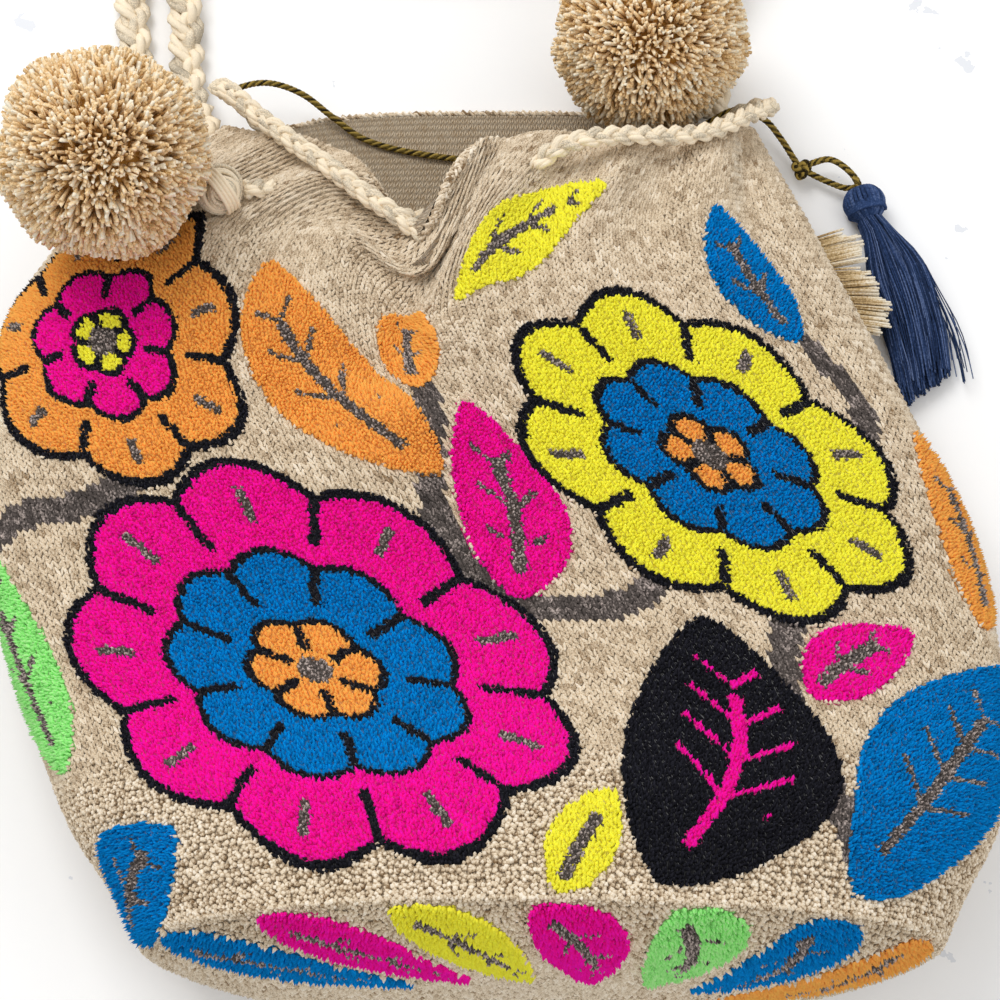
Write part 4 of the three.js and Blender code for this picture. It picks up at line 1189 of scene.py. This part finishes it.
class TOTE_OT_crochet(bpy.types.Operator):
    """Crochets the body: its skin, inside, rim and the raised stitches of its front"""

    bl_idname = "tote.crochet"
    bl_label = "Crocheted body"

    def execute(self, context):
        self.skin()
        self.inside()
        self.rim()
        self.raised()
        return {"FINISHED"}

    @staticmethod
    def sheet(name, place, normal, stride):
        """A sheet of crochet through a grid of places, facing along the normals; stride counts stitches"""
        rows, columns = place.shape[:2]
        points, normals, quads = place.reshape(-1, 3), normal.reshape(-1, 3), grid_quads(rows, columns)
        p = points[quads]
        face = np.cross(p[:, 2] - p[:, 0], p[:, 3] - p[:, 1])
        turned = (face * normals[quads[:, 0]]).sum(1) < 0
        piece = Piece()
        piece.add(points, np.where(turned[:, None], quads[:, ::-1], quads))
        made = piece.build(name, crochet_material(name), "crochet")
        grid = np.zeros((rows, columns, 3), np.float32)
        grid[..., 0] = stride * np.arange(columns)
        grid[..., 1] = stride * np.arange(rows)[:, None]
        made.data.attributes.new("stitch", "FLOAT_VECTOR", "POINT").data.foreach_set("vector", grid.ravel())
        return made

    def skin(self):
        """The outside, in the colour of each stitch, and raised where pile is worked on it"""
        surface = SURFACE
        rows, columns = surface.table.shape[:2]
        i, j = np.meshgrid(np.arange(rows - 1), np.arange(columns - 1), indexing="ij")
        on_wall = (i + 0.5 - BASE_ROWS) * surface.front_length / surface.rows
        on_base = ((i + 0.5) / BASE_ROWS - 1) * BASE_REACH
        across = ROUND_LENGTH / 2 - (j + 0.5) * ROUND_LENGTH / STITCH_COLUMNS
        yarn_at, node_at = embroidery(across, np.where(i >= BASE_ROWS, on_wall, on_base))
        lift, count = np.zeros((rows, columns)), np.zeros((rows, columns))
        for di in (0, 1):
            for dj in (0, 1):
                lift[di : rows - 1 + di, dj : columns - 1 + dj] += node_at >= 0
                count[di : rows - 1 + di, dj : columns - 1 + dj] += 1
        lift = lift / count
        lift[:, 0] = lift[:, -1] = (lift[:, 0] + lift[:, -1]) / 2
        place = surface.table + surface.normal * (lift * PILE_LIFT - SKIN_SINK)[..., None]
        place[..., 2] = np.maximum(place[..., 2], 0.05)
        made = self.sheet("crochet_skin", place, surface.normal, 1)
        palette = np.array([[*getattr(yarns(), name), 1.0] for name in FIELDS], np.float32)
        field = made.data.attributes.new("field", "FLOAT_COLOR", "FACE")
        field.data.foreach_set("color", palette[yarn_at].ravel())
        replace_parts(made, "bag_body")

    def inside(self):
        """The inside of the wall, in half as many stitches"""
        table, normal = SURFACE.table[BASE_ROWS::2, ::2], SURFACE.normal[BASE_ROWS::2, ::2]
        made = self.sheet("crochet_inside", table - normal * WALL, -normal, 2)
        field = made.data.attributes.new("field", "FLOAT_COLOR", "POINT")
        shadowed = np.array([*shade(tuple(yarns().crochet), 0.8), 1.0], np.float32)
        field.data.foreach_set("color", np.tile(shadowed, len(made.data.vertices)))

    @staticmethod
    def rim():
        """The rounded rim: a chain of three plied yarns round the mouth"""
        edge, out = SURFACE.table[-1], SURFACE.normal[-1]
        up = unit(np.cross(unit(np.gradient(edge, axis=0)), out))
        if up[STITCH_COLUMNS // 2][1] < 0:
            up = -up
        gone = gone_along(edge)
        at = np.linspace(0, gone[-1], round(gone[-1] / RIM_STEP) + 1)
        edge, out, up = (spaced(at, gone, v) for v in (edge, out, up))
        middle = edge - out * WALL / 2 - up * RIM_SINK
        turns = round(gone[-1] / RIM_PITCH)
        rng = np.random.default_rng(31)
        piece = Piece()
        for k in range(3):
            phase = TURN * (turns * at / gone[-1] + k / 3)
            line = middle + out * (1.3 * np.sin(phase))[:, None] + up * (0.75 * np.sin(2 * phase))[:, None]
            for ply in range(3):
                turn = at * 0.5 + ply * TURN / 3
                own = line + out * (0.45 * np.cos(turn))[:, None] + up * (0.4 * np.sin(turn))[:, None]
                patches = np.interp(at, at[::6], rng.standard_normal(len(at[::6])))
                tube(piece, own, out, 0.62, 0.55, 5, np.clip(0.45 + 0.22 * patches, 0, 1), close=False)
        piece.build("crochet_rim", crochet_yarn(), "crochet")

    def raised(self):
        """Each stitch that can be seen, as two legs of yarn, or as loops near the base"""
        stitches = Stitches()
        shown = ~stitches.pile & (stitches.normal[:, 2] > -0.6) & (stitches.place[:, 2] > 1.5)
        shown |= ~stitches.pile & (stitches.along < 0)
        for point in route(DRAWSTRING_ROUTE, 2)[0]:
            shown &= np.linalg.norm(stitches.place - point, axis=1) > CORD_ROOM
        rng = np.random.default_rng(32)
        stem = stitches.yarn == FIELDS.index("charcoal")
        looped = ~stem & (stitches.along < LOOPS_TO + rng.normal(0, 4, len(shown)))
        left = stitches.place[:, 0] < STITCHES_PARTED
        stem_yarn = yarn("stem_yarn", tuple(yarns().charcoal), 0.3, 6.0, sheen=0.1)
        for name, chosen, material, fat in (
            ("crochet_stitches_left", shown & ~looped & ~stem & left, crochet_yarn(), 1.0),
            ("crochet_stitches_right", shown & ~looped & ~stem & ~left, crochet_yarn(), 1.0),
            ("crochet_loops", shown & looped, crochet_yarn(), None),
            ("crochet_stems", shown & stem, stem_yarn, 1.15),
        ):
            index = np.nonzero(chosen)[0]
            piece = Piece()
            if fat is None:
                self.loops(piece, stitches, index, rng)
            else:
                legs(piece, stitches, index, fat, rng)
            piece.build(name, material, "crochet")

    @staticmethod
    def loops(piece, stitches, index, rng):
        """Rounded loops on the wall, pointed ones on the base, and a row of them along its edge"""
        on_base = stitches.along[index] < 0
        for part, rounded in ((index[on_base], False), (index[~on_base], True)):
            tufts(piece, ends_of(stitches, part, LOOP_ENDS, rng), 0.95, 1.15, 0.0, 0.55, rng, rounded)
        edge = rng.permutation(ROUND_LENGTH / 2 - np.arange(0, ROUND_LENGTH, 1.3))
        edge = edge[SURFACE.at(edge, 0.0)[:, 2] > 1]
        ends = (edge, rng.choice([-0.4, 0.4], len(edge)), np.full(len(edge), STITCH_WIDTH))
        covered = embroidery(ends[0], ends[1])[1] >= 0
        tufts(piece, tuple(v[~covered] for v in ends), 0.9, 0.9, 0.0, 0.5, rng, True)


class TOTE_OT_embroidery(bpy.types.Operator):
    """Hooks the raised pile: cut ends of yarn in each coloured stitch"""

    bl_idname = "tote.embroidery"
    bl_label = "Pile embroidery"

    def execute(self, context):
        stitches = Stitches()
        rng = np.random.default_rng(100)
        slots = {s["node"]: s["material_slot"] for s in frame["record"]["subparts"]}
        every = np.arange(len(stitches.across))
        across, along, width = ends_of(stitches, every, CUT_ENDS, rng)
        yarn_at, node_at = embroidery(across, along)
        standing = (node_at >= 0) | np.tile(stitches.pile, len(CUT_ENDS))
        for number, node in enumerate(["crochet_edge", *field_nodes()], -1):
            mine = standing & (node_at == number)
            if number >= 0 and not mine.any():
                raise RuntimeError(f"no end of yarn shows {node}")
            made = []
            for name in (FIELDS[colour] for colour in np.unique(yarn_at[mine])):
                chosen = mine & (yarn_at == FIELDS.index(name))
                low = name in ("charcoal", "crochet") or (name == "black" and node != "black_leaf")
                height = size("pile_height") * (0.7 if low else 1.0) + PILE_SINK
                ends = (across[chosen], along[chosen], width[chosen])
                piece = Piece()
                tufts(piece, ends, 0.72, height, PILE_LIFT - PILE_SINK, 0.66, rng)
                made.append(piece.build(f"{node}_{name}", self.material(name), slots.get(node, "crochet")))
            if number >= 0:
                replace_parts(made[0], node)
        return {"FINISHED"}

    @staticmethod
    def material(name):
        """The yarn of one colour of cut ends"""
        if name == "crochet":
            return crochet_yarn()
        low, high = PILE_SHADES.get(name, OTHER_SHADES)
        sheen = 0.06 if name == "black" else 0.15
        return yarn("cut_" + name, tuple(getattr(yarns(), name)), low, high, 1700, sheen)


class TOTE_OT_fringe(bpy.types.Operator):
    """Lays the cut strand ends that stand out from the right side, bundle by bundle"""

    bl_idname = "tote.fringe"
    bl_label = "Strap end fringe"

    def execute(self, context):
        rng = np.random.default_rng(41)
        piece = Piece()
        steps = np.linspace(0, 1, 7)
        middle, level = TUFT_PLACE
        skin = SURFACE.table[BASE_ROWS:].reshape(-1, 3)
        skin = skin[skin[:, 0] > 60]
        skin = skin[np.argsort(skin[:, 1])]
        root, bulge = (skin[np.abs(skin[:, 2] - height) < 2] for height in (level, TUFT_BULGE))
        for bundle in range(TUFT_BUNDLES):
            share = (bundle + 0.5 + rng.normal(0, 0.12)) / TUFT_BUNDLES
            lean = TUFT_LEAN[0] + (TUFT_LEAN[1] - TUFT_LEAN[0]) * share + rng.normal(0, 0.06)
            reach = TUFT_REACH * rng.uniform(0.86, 1.1) * (0.72 + 0.28 * min(1, 4 * share))
            bundle_tone = rng.uniform(0.3, 0.65)
            for layer, count in TUFT_LAYERS:
                for strand in range(count):
                    beside = (strand - (count - 1) / 2) * 0.72
                    y = middle + TUFT_SPAN * (share - 0.5) + beside
                    x, out = (np.interp(y, line[:, 1], line[:, 0]) for line in (root, bulge))
                    own = lean + 0.02 * beside + rng.normal(0, 0.02)
                    length = out - x + reach * rng.uniform(0.95, 1.04) + TUFT_ROOT
                    gone = -TUFT_ROOT + length * steps
                    height = level + layer + rng.normal(0, 0.25) - 0.8 * steps**2
                    centre = np.stack([x + gone * math.cos(own), y + gone * math.sin(own), height], -1)
                    # Each strand is painted dark at its root, as shade under the wall, and near white at its
                    # tip, partly the yarn's pale ends and partly painted highlight; between them it has its
                    # bundle's own random tone
                    tone = np.interp(steps, [0, 0.75, 1], [0.15, bundle_tone, 0.98]) + rng.normal(0, 0.08)
                    tube(piece, centre, np.array([math.sin(own), -math.cos(own), 0]), 0.42, 0.5, 5, tone)
        material = yarn(
            "fringe_yarn", linear("cbb184"), fine=1500, sheen=0.08,
            dark_colour=linear("7d5f38"), light_colour=linear("f4ead6"),
        )
        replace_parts(piece.build("strap_end_fringe", material, "tuft_yarn"), "strap_end_tuft")
        return {"FINISHED"}


class TOTE_OT_stage(bpy.types.Operator):
    """Puts the bag on a pale floor in soft light"""

    bl_idname = "tote.stage"
    bl_label = "Stage"

    def execute(self, context):
        scene = context.scene
        scene.view_settings.view_transform = "Standard"
        self.floor(scene)
        world = bpy.data.worlds.new("studio")
        scene.world = world
        world.use_nodes = True
        background = world.node_tree.nodes["Background"]
        background.inputs["Color"].default_value = (1, 1, 1, 1)
        background.inputs["Strength"].default_value = STUDIO_LIGHT
        for name, place, power, reach in LAMPS:
            data = bpy.data.lights.new(name, "AREA")
            data.energy = power
            data.size = reach
            lamp = bpy.data.objects.new(name, data)
            lamp.location = place
            lamp.rotation_euler = (Vector(place) - Vector(LAMPS_AIM)).to_track_quat("Z", "Y").to_euler()
            scene.collection.objects.link(lamp)
        return {"FINISHED"}

    @staticmethod
    def floor(scene):
        """White painted boards, a little worn"""
        mesh = bpy.data.meshes.new("floor")
        corners = [(x * FLOOR_REACH, y * FLOOR_REACH, 0) for x, y in ((-1, -1), (1, -1), (1, 1), (-1, 1))]
        mesh.from_pydata(corners, [], [(0, 1, 2, 3)])
        floor = bpy.data.objects.new("floor", mesh)
        scene.collection.objects.link(floor)
        m = Material("painted_floor")
        grain = m.noise(9, 6.0)
        specks = m.noise(60, 6.0)
        worn = m.math("MULTIPLY", m.math("GREATER_THAN", specks, 0.66), m.math("GREATER_THAN", grain, 0.52))
        seen = m.node("LightPath", output="Is Camera Ray")
        colour = m.mix(seen, (0.8, 0.8, 0.8), m.mix(worn, (1.0, 1.0, 1.0), (0.8, 0.82, 0.86)))
        mesh.materials.append(m.finish(colour, specks, 0.0006, 0.3, roughness=0.7, sheen=0.0))


class TOTE_PT_panel(bpy.types.Panel):
    """Yarns, sizes and the steps that build the bag"""

    bl_idname = "TOTE_PT_panel"
    bl_label = "Tote Bag"
    bl_space_type = "VIEW_3D"
    bl_region_type = "UI"
    bl_category = "Tote Bag"

    def draw(self, context):
        for group in (context.scene.tote_yarns, context.scene.tote_sizes):
            box = self.layout.box()
            for name in group.__annotations__:
                box.prop(group, name)
        for step in STEPS:
            self.layout.operator(step.bl_idname)


STEPS = (
    TOTE_OT_camera,
    TOTE_OT_drawstring,
    TOTE_OT_strap,
    TOTE_OT_tie_cord,
    TOTE_OT_tassel,
    TOTE_OT_pompoms,
    TOTE_OT_cords,
    TOTE_OT_crochet,
    TOTE_OT_embroidery,
    TOTE_OT_fringe,
    TOTE_OT_stage,
)
CLASSES = (TOTE_PG_yarns, TOTE_PG_sizes, *STEPS, TOTE_PT_panel)


def register():
    for cls in CLASSES:
        bpy.utils.register_class(cls)
    bpy.types.Scene.tote_yarns = bpy.props.PointerProperty(type=TOTE_PG_yarns)
    bpy.types.Scene.tote_sizes = bpy.props.PointerProperty(type=TOTE_PG_sizes)


def unregister():
    del bpy.types.Scene.tote_sizes
    del bpy.types.Scene.tote_yarns
    for cls in reversed(CLASSES):
        bpy.utils.unregister_class(cls)


def main():
    register()
    for step in STEPS:
        group, name = step.bl_idname.split(".")
        getattr(getattr(bpy.ops, group), name)()
    bpy.context.view_layer.update()


if __name__ == "__main__":
    main()
